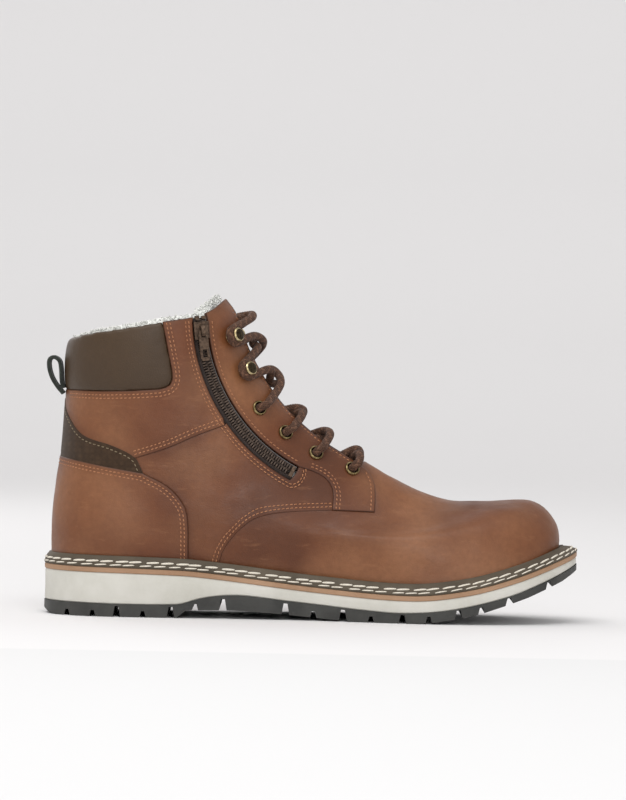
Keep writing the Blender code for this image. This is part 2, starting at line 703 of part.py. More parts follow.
def turned(name, centre, axis, profile, surface, segments=12):
    """A closed ring or solid turned round an axis; the profile is (radius, height) points."""
    first = axis.orthogonal().normalized()
    second = axis.cross(first)
    points, faces, rows = [], [], []
    for radius, height in profile:
        if radius == 0:
            rows.append([len(points)] * segments)
            points.append(centre + axis * height)
            continue
        rows.append(list(range(len(points), len(points) + segments)))
        for k in range(segments):
            t = 2 * math.pi * k / segments
            points.append(centre + axis * height + (first * math.cos(t) + second * math.sin(t)) * radius)
    closed = profile[0][0] != 0
    pairs = list(zip(rows, rows[1:])) + ([(rows[-1], rows[0])] if closed else [])
    for low, high in pairs:
        for k in range(segments):
            m = (k + 1) % segments
            face = []
            for i in (low[k], low[m], high[m], high[k]):
                if i not in face:
                    face.append(i)
            faces.append(tuple(face))
    return add_object(name, points, faces, surface, 50)


def build_eyelets():
    eyelets, hooks = pair_holes()
    ring = [(EYELET_HOLE, -2.5), (3.45, -2.5), (3.45, 1.1), (EYELET_RIM, 1.1), (EYELET_RIM, 1.4),
            (3.8, 1.85), (EYELET_HOLE, 1.5)]
    hook = [(0, -2.3), (1.5, -2.3), (1.5, 0.95), (4.2, 0.95), (4.2, 1.4), (1.5, 1.7), (1.5, 7.0),
            (4.1, 7.0), (4.1, 7.6), (2.6, 8.4), (0, 8.6)]
    for side_name in ("medial", "lateral"):
        for kind, places, profile in (("eyelet", eyelets, ring), ("lace_hook", hooks, hook)):
            for i, (h, angle) in enumerate(places):
                angle = angle if side_name == "medial" else 360 - angle
                turned(f"{kind}_{side_name}_{i + 1}", skin(h, angle), directions(h, angle)[2],
                       profile, "antique_brass")


def lace_half(side):
    """Points of half the lace, from the bottom bar up to its tucked end; side is 1 or -1."""
    eyelets, hooks = pair_holes()

    def at(h, y, offset):
        angle = edge_angle(min(h, 1.0), abs(y)) if abs(y) > 0.01 else 180.0
        if y > 0:
            angle = 360 - angle
        return layer(h, angle, offset)

    def eyelet(index, here):
        """Up through an eyelet from the middle: the turn below, the hole, the turn above."""
        h, angle = eyelets[index]
        y = half_width(h, angle)
        angle = angle if here > 0 else 360 - angle
        centre, axis = skin(h, angle), directions(h, angle)[2]
        inwards = (at(h, y * here * 0.5, 0) - centre)
        inwards = (inwards - axis * inwards.dot(axis)).normalized()
        turn = LACE_TURN
        low = [centre + inwards * (turn + 2.2) + axis * LACE_UNDER,
               centre + inwards * turn + axis * LACE_UNDER,
               centre + inwards * turn * 0.3 + axis * (LACE_UNDER + turn * 0.3),
               centre + axis * -2.6]
        high = [centre + axis * 2.0, centre + inwards * turn * 0.3 + axis * (2.3 + turn * 0.7),
                centre + inwards * turn + axis * (2.6 + turn)]
        return low + [centre] + high

    def hook_turn(index, here):
        """Round the neck of a hook, from its lower side to its upper side."""
        h, angle = hooks[index]
        angle = angle if here > 0 else 360 - angle
        centre, (_, by_height, axis) = skin(h, angle), directions(h, angle)
        up = (by_height - axis * by_height.dot(axis)).normalized()
        inwards = up.cross(axis) * here
        bend = 1.5 + LACE_RADIUS + 0.4
        points = []
        for k in range(7):
            t = math.radians(-100 + 200 * k / 6)
            out = -inwards * bend * math.cos(t) + up * bend * math.sin(t)
            points.append(centre + out + axis * 4.25)
        return points

    route = []
    here = side
    gap = THROAT_HALF_GAP
    for index in range(4):
        route += eyelet(index, here)
        h1 = eyelets[index][0]
        h2 = eyelets[index + 1][0] if index < 3 else hooks[0][0]
        middle = -3.3 if side > 0 else 2.2
        route.append(at(h1 + (h2 - h1) * 0.25, -gap * here * 0.75, 4.3 if side > 0 else 5.2))
        if index < 3:
            route.append(at(h1 + (h2 - h1) * 0.5, 0.0, middle))
            route.append(at(h1 + (h2 - h1) * 0.78, gap * here * 0.85, LACE_UNDER + 0.1))
            here = -here
        else:
            route.append(at(h1 + (h2 - h1) * 0.45, 0.0, middle + (3.2 if side > 0 else 4.0)))
            here = -here
            route.append(at(h1 + (h2 - h1) * 0.7, -gap * here * 0.8, 5.5))
    for index in range(2):
        route += hook_turn(index, here)
        h1 = hooks[index][0]
        h2 = hooks[1][0] if index == 0 else 0.965
        low = 2.2 if side > 0 else 8.0
        route.append(at(h1 + (h2 - h1) * 0.35, -gap * here * 0.6, 4.4 if side > 0 else 7.0))
        route.append(at(h1 + (h2 - h1) * 0.5, 0.0, low if index == 0 else low - 1.0))
        if index == 0:
            here = -here
            route.append(at(h1 + (h2 - h1) * 0.7, -gap * here * 0.8, 5.5))
    here = -here
    route.append(at(0.955, -gap * here * 0.9, LACE_UNDER + 1.5))
    route.append(at(0.945, -(gap + 4) * here, LACE_UNDER))
    route.append(at(0.91, -(gap + 6.5) * here, LACE_UNDER))
    return route


def build_lace():
    """The lace as one tube through all eyelets and round all hooks, and its two end tips."""
    first, second = lace_half(1), lace_half(-1)
    bar = [layer(pair_holes()[0][0][0], 180.0, LACE_UNDER)]
    route = Curve(list(reversed(first)) + bar + second)
    spacing = 2 * LACE_RADIUS * 0.9
    points = route.spread(spacing)
    data = bpy.data.curves.new("lace", "CURVE")
    data.dimensions = "3D"
    data.bevel_depth = LACE_RADIUS * MM
    data.bevel_resolution = 1
    data.use_fill_caps = True
    spline = data.splines.new("POLY")
    spline.points.add(len(points) - 1)
    for knot, p in zip(spline.points, points):
        knot.co = (*place(p), 1)
    data.materials.append(material("lace"))
    bpy.context.scene.collection.objects.link(bpy.data.objects.new("lace", data))
    tip = [(0, 0), (1.7, 0), (1.7, 9), (1.2, 10), (0, 10)]
    ends = (("aglet_medial", points[0], points[1]), ("aglet_lateral", points[-1], points[-2]))
    for name, end, before in ends:
        axis = (end - before).normalized()
        turned(name, end + axis * 0.4, axis, tip, "lace", 10)


# ---------------------------------------------------------------- the zip


def swept(name, stations, section, surface, origin=None):
    """A closed strip with the same section at each station down the zip."""
    points, faces = [], []
    for distance in stations:
        points += [zip_point(distance, across, height) for across, height in section]
    count = len(section)
    for i in range(len(stations) - 1):
        for k in range(count):
            a, b = i * count + k, i * count + (k + 1) % count
            faces.append((a, b, b + count, a + count))
    faces.append(tuple(range(count)))
    faces.append(tuple(reversed(range(len(points) - count, len(points)))))
    return add_object(name, points, faces, surface, 30, origin)


def spaced(start, end, spacing):
    steps = max(1, math.ceil((end - start) / spacing))
    return [start + (end - start) * i / steps for i in range(steps + 1)]


def build_zip():
    total = zip_length()
    rows = spaced(2.0, total - 3.0, 5.0)
    for name, front in (("zip_chain_rear", -1), ("zip_chain_front", 1)):
        section = [(0.8 * front, -1.1), (3.0 * front, -1.1), (3.0 * front, 1.1), (0.8 * front, 1.1)]
        swept(name, rows, section, "zip_metal")
    for name, front in (("zip_tape_rear", -1), ("zip_tape_front", 1)):
        points, faces = [], []
        tape_rows = spaced(1.0, total - 1.0, 6.0)
        for distance in tape_rows:
            inner = zip_point(distance, 3.5 * front, -1.25)
            lower = zip_point(distance, 3.5 * front, -1.85)
            sheet, back = [inner], [lower]
            for reach in (4.8, 7.8, 11.0):
                flat_point = zip_point(distance, reach * front)
                h, angle = on_skin(flat_point.x, flat_point.z)
                sheet.append(layer(h, angle, -2.5))
                back.append(layer(h, angle, -3.1))
            points += sheet + list(reversed(back))
        count = 8
        for i in range(len(tape_rows) - 1):
            for k in range(count):
                a, b = i * count + k, i * count + (k + 1) % count
                faces.append((a, b, b + count, a + count))
        faces.append(tuple(range(count)))
        faces.append(tuple(reversed(range(len(points) - count, len(points)))))
        add_object(name, points, faces, "zip_tape", 30)
    swept("zip_bottom_stop", [total - 2.4, total - 0.4],
          [(-3.2, -1.1), (3.2, -1.1), (3.2, 1.2), (-3.2, 1.2)], "zip_metal")
    for name, front in (("zip_top_stop_rear", -1), ("zip_top_stop_front", 1)):
        section = [(0.8 * front, -1.1), (3.1 * front, -1.1), (3.1 * front, 1.1), (0.8 * front, 1.1)]
        swept(name, [-0.2, 1.6], section, "zip_metal")

    middle = SLIDER_FROM_TOP
    centre = ZIP[0]
    body = [(-0.4, 1.5), (-0.4, -1.5), (-2.9, -1.5), (-2.9, -2.3), (2.9, -2.3), (2.9, -1.5), (0.4, -1.5),
            (0.4, 1.5), (3.4, 1.5), (3.4, -0.6), (4.4, -0.6), (4.4, 1.8), (3.4, 2.5), (-3.4, 2.5),
            (-4.4, 1.8), (-4.4, -0.6), (-3.4, -0.6), (-3.4, 1.5)]
    ends = [middle - SLIDER_HALF_LENGTH, middle, middle + SLIDER_HALF_LENGTH]
    slider = swept("zip_slider", ends, body, "zip_metal", centre)
    arch = [(middle - 3.6, 2.2), (middle - 2.8, 4.4), (middle - 1.0, 5.5), (middle + 1.6, 5.5),
            (middle + 3.2, 4.4), (middle + 3.8, 2.2), (middle + 2.4, 2.2), (middle + 1.9, 3.6),
            (middle + 0.9, 4.3), (middle - 0.5, 4.3), (middle - 1.7, 3.6), (middle - 2.3, 2.2)]
    points = [zip_point(d, side, z) for side in (-1.1, 1.1) for d, z in arch]
    count = len(arch)
    faces = [(k, (k + 1) % count, (k + 1) % count + count, k + count) for k in range(count)]
    faces += [tuple(range(count)), tuple(reversed(range(count, 2 * count)))]
    bridge = add_object("slider_bridge_cutter", points, faces, "zip_metal", 30, centre)
    bridge.hide_render = True
    bridge.display_type = "WIRE"
    joined = slider.modifiers.new("bridge", "BOOLEAN")
    joined.operation = "UNION"
    joined.object = bridge
    joined.solver = "EXACT"

    pivot_at, pivot_height = middle + 0.6, 3.4
    pivot = zip_point(pivot_at, 0, pivot_height)
    outline = [(-0.6, -2.0), (-0.6, 2.0), (2.0, 2.8), (PULL_LENGTH - 1.5, 2.8), (PULL_LENGTH, 1.8),
               (PULL_LENGTH, -1.8), (PULL_LENGTH - 1.5, -2.8), (2.0, -2.8)]
    eye = [(0.5, -1.3), (0.5, 1.3), (3.6, 1.3), (3.6, -1.3)]
    window = [(PULL_LENGTH - 6.5, -1.3), (PULL_LENGTH - 2.0, -1.3), (PULL_LENGTH - 2.0, 1.3),
              (PULL_LENGTH - 6.5, 1.3)]
    flat_points, flat_faces = triangulate([outline, eye, window])
    base = zip_point(pivot_at, 0, 0)
    along = (zip_point(pivot_at + 0.5, 0, 0) - zip_point(pivot_at - 0.5, 0, 0)).normalized()
    up = (pivot - base).normalized()
    sideways = up.cross(along).normalized()
    tilt = math.radians(2)
    run = along * math.cos(tilt) + up * math.sin(tilt)
    rise = up * math.cos(tilt) - along * math.sin(tilt)
    upper = [pivot + run * p.x + sideways * p.y + rise * PULL_HALF_THICKNESS for p in flat_points]
    lower = [pivot + run * p.x + sideways * p.y - rise * PULL_HALF_THICKNESS for p in flat_points]
    add_object("zip_pull", *thick_patch(upper, lower, flat_faces), "zip_metal", 30, pivot)


def build_zip_guard():
    """The flap of lining cloth behind the zip."""
    front = zip_edge(4.0, 0.02, 0.96)
    rear = zip_edge(-12.0, 0.02, 0.96)
    loop = join(front, list(reversed(rear)))
    skin_patch("zip_guard", loop, (-9.3, -8.4), "zip_tape")


# ---------------------------------------------------------------- the heel loop


def build_heel_loop():
    """A band of webbing folded to a loop, on its hinge line at the back seam."""
    half_height = 8.0
    middle = Curve([(9.4, 127.4), (5.8, 131.6), (2.6, 136.8), (0.9, 142.5), (1.1, 147.0), (3.5, 148.4),
                    (6.7, 146.4), (7.8, 141.8), (7.9, 137)])
    rows = middle.spread(3.0)
    half_thickness = 0.55
    outer, inner = [], []
    for i, p in enumerate(rows):
        ahead = rows[min(i + 1, len(rows) - 1)] - rows[max(i - 1, 0)]
        side_way = Vector((-ahead.y, ahead.x)).normalized() * half_thickness
        outer.append(p + side_way)
        inner.append(p - side_way)
    ring = outer + list(reversed(inner))
    count = len(ring)
    points = [(p.x, y, p.y) for y in (-half_height, half_height) for p in ring]
    faces = [(k, (k + 1) % count, (k + 1) % count + count, k + count) for k in range(count)]
    for k in range(len(outer) - 1):
        a, b, c, d = k, k + 1, count - 2 - k, count - 1 - k
        faces.append((a, b, c, d))
        faces.append((d + count, c + count, b + count, a + count))
    add_object("heel_loop", points, faces, "webbing", 60, (9.4, 0, 127.4))


MIDDLE_Y = middle_of_sole()


def main():
    for old in list(bpy.data.objects):
        bpy.data.objects.remove(old, do_unlink=True)
    build_sole()
    build_welt()
    build_upper()
    build_linings()
    build_eyelets()
    build_lace()
    build_zip()
    build_zip_guard()
    build_heel_loop()


main()
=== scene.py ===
"""Looks of the insulated lace-up ankle boot.

Lengths are millimetres in the boot's own measure (from the back of the heel, the plane through the
heel's middle and the floor) until place() turns them into metres in the frame. The upper is one
smooth skin, read by a height share h (0 at the sole, 1 at the collar) and an angle round the foot
(0 at the back of the heel, 90 on the inner side, 180 at the front, 270 on the outer side).
"""

import math
import random
from bisect import bisect_right

import bmesh
import bpy
import numpy as np
from mathutils import Matrix, Vector, noise
from mathutils.geometry import delaunay_2d_cdt


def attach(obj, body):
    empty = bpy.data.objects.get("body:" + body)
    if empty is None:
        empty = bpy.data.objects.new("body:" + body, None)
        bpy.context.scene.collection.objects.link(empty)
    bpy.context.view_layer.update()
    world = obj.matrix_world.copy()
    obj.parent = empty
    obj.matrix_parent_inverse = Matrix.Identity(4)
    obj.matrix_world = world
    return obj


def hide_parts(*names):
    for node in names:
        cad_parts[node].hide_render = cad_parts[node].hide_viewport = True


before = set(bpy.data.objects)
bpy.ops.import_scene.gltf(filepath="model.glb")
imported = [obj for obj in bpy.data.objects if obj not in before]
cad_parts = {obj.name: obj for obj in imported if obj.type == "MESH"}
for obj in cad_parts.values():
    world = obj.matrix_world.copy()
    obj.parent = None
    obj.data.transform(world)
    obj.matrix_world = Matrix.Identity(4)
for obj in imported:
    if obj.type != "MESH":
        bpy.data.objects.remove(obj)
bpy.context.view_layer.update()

MM = 0.001
LENGTH = 310.0

LEATHER_BACK = -1.8
TONGUE_TOP = -9.4

WELT_REACH = 5.2
TOE_EXTRA_REACH = 6.3
WELT_RISE = 6.8
MID_LAYER_THICKNESS = 3.0

THROAT_HALF_GAP = 11.0
TONGUE_HALF_WIDTH = 25.0
ZIP_HALF_OPENING = 5.0
LACE_RADIUS = 2.4
LACE_UNDER = -5.9
LACE_TURN = 3.0
EYELET_HOLE = 3.1
EYELET_RIM = 4.4

# Side view of the upper: its four borders.
BACK = [(5.2, 29.8), (5.2, 58.7), (9.0, 91.1), (11.0, 123.4), (11.2, 148), (12.4, 159.5)]
COLLAR = [(12.4, 159.5), (24, 162.2), (43, 165), (67.7, 169.6), (86, 173), (96, 177.5), (103.5, 184.5)]
FEATHER = [(5.2, 29.8), (81.6, 28.2), (102, 26.4), (160.3, 20), (213.4, 17), (245, 20.5),
           (272.5, 28), (298.5, 38.5)]
FRONT = [(298.5, 38.5), (300, 47.2), (298.3, 56), (291, 66), (280.2, 71), (257, 69.6), (234.8, 70),
         (218, 75), (200, 83), (182, 93.5), (162.3, 104.7), (146, 117.3), (132.8, 131.5),
         (118.2, 155), (109.2, 177), (103.5, 184.5)]

# Half-widths of the upper at angles of 30, 60, 90, 120 and 150 degrees, at six heights.
LEVELS = (0.0, 0.12, 0.25, 0.5, 0.75, 1.0)
INNER_WIDTHS = ((28, 32.5, 33, 45, 34), (30.5, 35, 36, 44, 30), (30, 36, 36, 37, 23),
                (26, 36, 36, 29.5, 17), (24, 37, 39, 33, 20), (26, 40, 43.5, 40, 24))
OUTER_WIDTHS = ((29, 34, 42, 49, 31), (31.5, 37, 44, 47, 28), (31, 37, 41, 39.5, 22),
                (26, 37, 37.5, 31, 17), (24, 37, 39, 33, 20), (26, 40, 43.5, 40, 24))

# Side view of the sole: heights along the length.
MID_TOP = [(0, 28.9), (80, 27.3), (102, 25.5), (160, 19), (213, 15.9), (245, 19.5), (272.5, 27),
           (299, 37), (310, 41.3)]
MIDSOLE_BOTTOM = [(0, 8), (78, 7.8), (92, 11.5), (105, 13.4), (118, 13.5), (140, 11.2), (160, 9.3),
                  (185, 7), (208, 5.9), (235, 8.2), (268, 16.2), (290, 25), (310, 34.4)]
TREAD = [(0, 3.5), (4, 0.6), (8, 0), (78, 0), (84, 4.6), (105, 5), (118, 4.8), (141, 3.2), (165, 1.2),
         (186, 0), (214, 0), (228, 1.2), (240, 3.4), (253, 6.5), (268, 11.6), (280, 16), (300, 25),
         (310, 31)]
GROOVES = (44, 75, 105, 141, 174, 208, 240, 269)
SMALL_GROOVES = (15, 30, 59, 89, 157, 190, 223, 253, 292)

# Seams in the side view.
COUNTER_FRONT = [(84.3, 27.9), (84.1, 40), (83.8, 52.5), (81.9, 63.6), (72.7, 74.6), (57.5, 82.5)]
COUNTER_TOP = [(57.5, 82.5), (34.5, 86.1), (8, 91.1)]
BACKSTAY_EDGE = [(57.5, 82.5), (52.8, 91.5), (40.4, 97.7), (22.2, 103.9), (12.6, 116.8), (10.4, 124.4)]
PAD_BOTTOM = [(10.2, 129.6), (30, 129.2), (50, 129.8), (66, 131)]
PAD_FRONT = [(66, 131), (72, 133), (74, 138), (71.5, 152), (67.7, 170)]
REAR_SEAM = [(52.8, 91.5), (72, 98), (88, 105.2), (103.9, 111.4)]
VAMP_SEAM = [(101.4, 26.6), (104, 38), (111.1, 48.6), (122.1, 57.8), (137.7, 61.8), (167, 63.7)]
NOSE_SEAM = [(167, 63.7), (190.9, 62.9)]
FACING_NOSE = [(190.9, 62.9), (191.3, 70.1), (190.4, 79.5), (187.2, 85.5)]
THROAT_FOOT = 0.525
FACING_SEAM = [(167, 63.7), (167.2, 74), (164, 80.5), (157, 85), (147.5, 88)]
ZIP_PLACES = [((88.5, 173.5), 0.4), ((105.0, 121.0), -0.6), ((144.5, 84.5), -0.6)]
EYELETS = [(177.6, 86.7), (156.5, 95.6), (138.7, 107.2), (123.3, 121.1)]
HOOKS = [(114, 142.2), (105.8, 162)]


# ---------------------------------------------------------------- the skin


def smooth_value(knots, values, at):
    """The value at a place on a smooth curve through values at rising knots."""
    last = len(knots) - 1
    if at > knots[-1]:
        return values[-1] + (values[-1] - values[-2]) * ((at - knots[-1]) / (knots[-1] - knots[-2]))
    i = min(max(bisect_right(knots, at) - 1, 0), last - 1)
    span = knots[i + 1] - knots[i]
    s = (at - knots[i]) / span

    def slope(j):
        low, high = max(j - 1, 0), min(j + 1, last)
        return (values[high] - values[low]) / (knots[high] - knots[low])

    start = values[i] * (2 * s**3 - 3 * s**2 + 1) + slope(i) * (span * (s**3 - 2 * s**2 + s))
    end = values[i + 1] * (3 * s**2 - 2 * s**3) + slope(i + 1) * (span * (s**3 - s**2))
    return start + end


class Curve:
    """A smooth curve through points, read by the share of its length."""

    def __init__(self, points):
        self.points = [Vector(p) for p in points]
        reach = [0.0]
        for a, b in zip(self.points, self.points[1:]):
            reach.append(reach[-1] + (b - a).length)
        self.length = reach[-1]
        self.knots = [r / self.length for r in reach]

    def at(self, share):
        return smooth_value(self.knots, self.points, share)

    def spread(self, spacing):
        steps = max(1, math.ceil(self.length / spacing))
        return [self.at(i / steps) for i in range(steps + 1)]


BORDERS = {"back": Curve(BACK), "collar": Curve(COLLAR),
           "feather": Curve(FEATHER), "front": Curve(FRONT)}


def side_view(h, v):
    """A point of the skin in the side view; v runs from the back border to the front border."""
    low, high = BORDERS["feather"], BORDERS["collar"]
    back, front = BORDERS["back"], BORDERS["front"]
    across = low.at(v) * (1 - h) + high.at(v) * h
    along = back.at(h) * (1 - v) + front.at(h) * v
    foot = low.at(0) * (1 - v) + low.at(1) * v
    top = high.at(0) * (1 - v) + high.at(1) * v
    corners = foot * (1 - h) + top * h
    return across + along - corners


def half_width(h, angle):
    """The skin's y at a height and an angle: negative on the inner side."""
    place_in_ring = (angle % 360) / 30
    i = int(place_in_ring)
    rows = []
    for inner, outer in zip(INNER_WIDTHS, OUTER_WIDTHS):
        ring = [0.0] + [-w for w in inner] + [0.0] + list(reversed(outer))
        near = [ring[(i + k) % 12] for k in (-1, 0, 1, 2)]
        rows.append(smooth_value((-1, 0, 1, 2), near, place_in_ring - i))
    return smooth_value(LEVELS, rows, h)


def skin_row(h):
    """The skin's points at one height, one for each degree round the foot."""
    half = [side_view(h, (1 - math.cos(math.radians(a))) / 2) for a in range(181)]
    row = []
    for a in range(360):
        x, z = half[min(a, 360 - a)]
        row.append((x, half_width(h, a), z))
    return row


# The skin and its slopes on a fine net, one row for each hundredth of the height.
NET_LOW, NET_ROWS = -0.03, 112
NET = np.array([skin_row(NET_LOW + 0.01 * i) for i in range(NET_ROWS)])
BY_ANGLE = (np.roll(NET, -1, 1) - np.roll(NET, 1, 1)) / 2
BY_HEIGHT = np.gradient(NET, 0.01, axis=0)
NORMALS = np.cross(BY_ANGLE, BY_HEIGHT)
NORMALS /= np.linalg.norm(NORMALS, axis=2)[:, :, None]


def read_net(net, places):
    """The net's values at (h, angle) places, as an array."""
    places = np.asarray(places, float)
    row = np.clip((places[:, 0] - NET_LOW) / 0.01, 0, NET_ROWS - 1.001)
    column = places[:, 1] % 360
    i, j = row.astype(int), column.astype(int) % 360
    s, t = (row - i)[:, None], (column - column.astype(int))[:, None]
    k = (j + 1) % 360
    low = net[i, j] * (1 - t) + net[i, k] * t
    high = net[i + 1, j] * (1 - t) + net[i + 1, k] * t
    return low * (1 - s) + high * s


def layers(places, offsets):
    """Points at distances outside (or, if negative, inside) the skin, as an array."""
    return read_net(NET, places) + read_net(NORMALS, places) * np.reshape(offsets, (-1, 1))


def skin(h, angle):
    return Vector(read_net(NET, [(h, angle)])[0])


def directions(h, angle):
    """How the skin point moves with the angle and the height, and the outward normal."""
    by_angle, by_height, normal = [Vector(read_net(net, [(h, angle)])[0])
                                   for net in (BY_ANGLE, BY_HEIGHT, NORMALS)]
    return by_angle, by_height, normal.normalized()


def layer(h, angle, offset):
    return skin(h, angle) + directions(h, angle)[2] * offset


def step(h, angle, along, up):
    """The (h, angle) that lies some millimetres along and up the skin from another."""
    by_angle, by_height, normal = directions(h, angle)
    first = by_angle.normalized()
    second = normal.cross(first)
    if second.dot(by_height) < 0:
        second = -second
    move_h = up / by_height.dot(second)
    move_angle = (along - by_height.dot(first) * move_h) / by_angle.length
    return h + move_h, angle + move_angle


def on_skin(x, z):
    """The (h, angle) on the inner side whose side view is the point (x, z)."""
    target = np.array((x, z))
    near = NET[:, :181, (0, 2)]
    row, column = np.unravel_index(np.argmin(((near - target) ** 2).sum(2)), near.shape[:2])
    h, angle = NET_LOW + 0.01 * row, float(min(max(column, 1), 179))
    for _ in range(12):
        here, by_angle, by_height = [read_net(net, [(h, angle)])[0][[0, 2]]
                                     for net in (NET, BY_ANGLE, BY_HEIGHT)]
        miss = target - here
        scale = by_height[0] * by_angle[1] - by_height[1] * by_angle[0]
        if abs(scale) < 1e-6:
            break
        h = min(max(h + (miss[0] * by_angle[1] - miss[1] * by_angle[0]) / scale, 0.0), 1.0)
        angle = min(max(angle + (by_height[0] * miss[1] - by_height[1] * miss[0]) / scale, 0.0), 180.0)
    return h, angle


def seam(points, spacing=4.0):
    """(h, angle) places along a smooth side-view line on the inner side."""
    return [on_skin(*p) for p in Curve(points).spread(spacing)]


def edge_angle(h, width):
    """The angle at the front where the inner side is a given distance from the middle plane."""
    low, high = 120.0, 180.0
    for _ in range(30):
        middle = (low + high) / 2
        if -half_width(h, middle) > width:
            low = middle
        else:
            high = middle
    return low


def throat_line(width, low, high, steps=24):
    rows = [low + (high - low) * i / steps for i in range(steps + 1)]
    return [(h, edge_angle(h, width)) for h in rows]


def level_line(h, start, end, spacing=3.0):
    steps = max(1, round(abs(end - start) / spacing))
    return [(h, start + (end - start) * i / steps) for i in range(steps + 1)]


def join(*lines):
    """One loop from lines that follow each other, without doubled points."""
    loop = []
    for line in lines:
        for p in line:
            if not loop or abs(p[0] - loop[-1][0]) * 150 + abs(p[1] - loop[-1][1]) > 0.7:
                loop.append(p)
    if abs(loop[0][0] - loop[-1][0]) * 150 + abs(loop[0][1] - loop[-1][1]) <= 0.7:
        loop.pop()
    return loop


def other_side(line):
    """The same line on the outer side, read backwards, for a loop that goes round the toe."""
    return [(h, 360 - angle) for h, angle in reversed(line)]


def round_heel(line):
    """The same line on the outer side, read backwards, for a loop that goes round the heel."""
    return [(h, -angle) for h, angle in reversed(line)]


def mid_top(x):
    return smooth_value([p[0] for p in MID_TOP], [p[1] for p in MID_TOP], min(max(x, 0.0), LENGTH))


def sole_ring(inwards=0.0, stations=72):
    """The sole's outline in plan and its outward directions, outside the upper by the welt's width."""
    ring = []
    for i in range(stations):
        angle = 360 * i / stations
        v = (1 - math.cos(math.radians(angle))) / 2
        reach = WELT_REACH + TOE_EXTRA_REACH * v**5 - inwards
        by_angle = directions(0.0, angle)[0]
        outwards = Vector((by_angle.y, -by_angle.x, 0)).normalized()
        foot = skin(0.0, angle)
        ring.append((foot + outwards * reach, outwards, angle))
    return ring


SOLE_SIDES = [point.y for point, _, _ in sole_ring()]
MIDDLE_Y = (min(SOLE_SIDES) + max(SOLE_SIDES)) / 2


def place(point):
    return Vector(((point[0] - LENGTH / 2) * MM, (point[1] - MIDDLE_Y) * MM, point[2] * MM))


def places(points):
    """An array of points in the boot's millimetres as metres in the frame."""
    return (np.asarray(points, float) - (LENGTH / 2, MIDDLE_Y, 0)) * MM


# ---------------------------------------------------------------- materials


def linear(red, green, blue):
    """A display colour of 0 to 255 as the shader's linear colour."""
    shares = [c / 255 for c in (red, green, blue)]
    return tuple(c / 12.92 if c <= 0.04045 else ((c + 0.055) / 1.055) ** 2.4 for c in shares) + (1.0,)


class Paint:
    """A procedural material being put together on one Principled shader."""

    def __init__(self, name, roughness=0.6, metallic=0.0, **sockets):
        self.made = bpy.data.materials.new(name)
        self.made.use_nodes = True
        self.tree = self.made.node_tree
        self.surface = self.tree.nodes["Principled BSDF"]
        self.set("Roughness", roughness)
        self.set("Metallic", metallic)
        for socket, value in sockets.items():
            self.set(socket.replace("_", " "), value)
        self.where = self.node("ShaderNodeTexCoord").outputs["Object"]
        self.normal = None

    def node(self, kind, **settings):
        made = self.tree.nodes.new(kind)
        for key, value in settings.items():
            setattr(made, key, value)
        return made

    def set(self, socket, value):
        """Sets a socket to a plain value, or links it to an output."""
        if isinstance(value, bpy.types.NodeSocket):
            self.tree.links.new(value, self.surface.inputs[socket])
        else:
            self.surface.inputs[socket].default_value = value

    def feed(self, node, key, value):
        if isinstance(value, bpy.types.NodeSocket):
            self.tree.links.new(value, node.inputs[key])
        else:
            node.inputs[key].default_value = value

    def stretched(self, factors, turn=(0, 0, 0)):
        """The place in the boot, scaled and turned."""
        mapping = self.node("ShaderNodeMapping")
        self.feed(mapping, "Vector", self.where)
        mapping.inputs["Scale"].default_value = factors
        mapping.inputs["Rotation"].default_value = turn
        return mapping.outputs["Vector"]

    def noise(self, size, detail=3.0, rough=0.5, at=None):
        """Smooth noise whose features are about size millimetres."""
        made = self.node("ShaderNodeTexNoise")
        self.feed(made, "Vector", at or self.where)
        made.inputs["Scale"].default_value = 1000 / size
        made.inputs["Detail"].default_value = detail
        made.inputs["Roughness"].default_value = rough
        return made.outputs["Fac"]

    def cells(self, size, feature="F1", at=None):
        made = self.node("ShaderNodeTexVoronoi", feature=feature)
        self.feed(made, "Vector", at or self.where)
        made.inputs["Scale"].default_value = 1000 / size
        return made.outputs["Distance"]

    def waves(self, size, direction="X", at=None, distortion=0.0):
        made = self.node("ShaderNodeTexWave", bands_direction=direction)
        self.feed(made, "Vector", at or self.where)
        made.inputs["Scale"].default_value = 1000 / size / math.tau * 0.314
        made.inputs["Distortion"].default_value = distortion
        return made.outputs["Fac"]

    def ramp(self, value, low, high, start=0.3, end=0.7):
        """A colour, or a number, that goes from low to high as value goes from start to end."""
        if isinstance(low, tuple):
            made = self.node("ShaderNodeMix", data_type="RGBA")
            share = self.ramp(value, 0.0, 1.0, start, end)
            self.feed(made, 0, share)
            made.inputs[6].default_value = low
            made.inputs[7].default_value = high
            return made.outputs[2]
        made = self.node("ShaderNodeMapRange")
        self.feed(made, "Value", value)
        for key, number in (("From Min", start), ("From Max", end), ("To Min", low), ("To Max", high)):
            made.inputs[key].default_value = number
        return made.outputs["Result"]

    def mix(self, share, first, second, blend="MIX"):
        made = self.node("ShaderNodeMix", data_type="RGBA", blend_type=blend)
        self.feed(made, 0, share)
        self.feed(made, 6, first)
        self.feed(made, 7, second)
        return made.outputs[2]

    def sum(self, first, second, operation="ADD"):
        made = self.node("ShaderNodeMath", operation=operation)
        self.feed(made, 0, first)
        self.feed(made, 1, second)
        return made.outputs[0]

    def read(self, name):
        return self.node("ShaderNodeAttribute", attribute_name=name).outputs["Fac"]

    def relief(self, height, depth, strength=1.0):
        """Adds a bump of depth millimetres on top of those before it."""
        bump = self.node("ShaderNodeBump")
        bump.inputs["Distance"].default_value = depth * MM
        bump.inputs["Strength"].default_value = strength
        self.feed(bump, "Height", height)
        if self.normal:
            self.feed(bump, "Normal", self.normal)
        self.normal = bump.outputs["Normal"]
        self.set("Normal", self.normal)


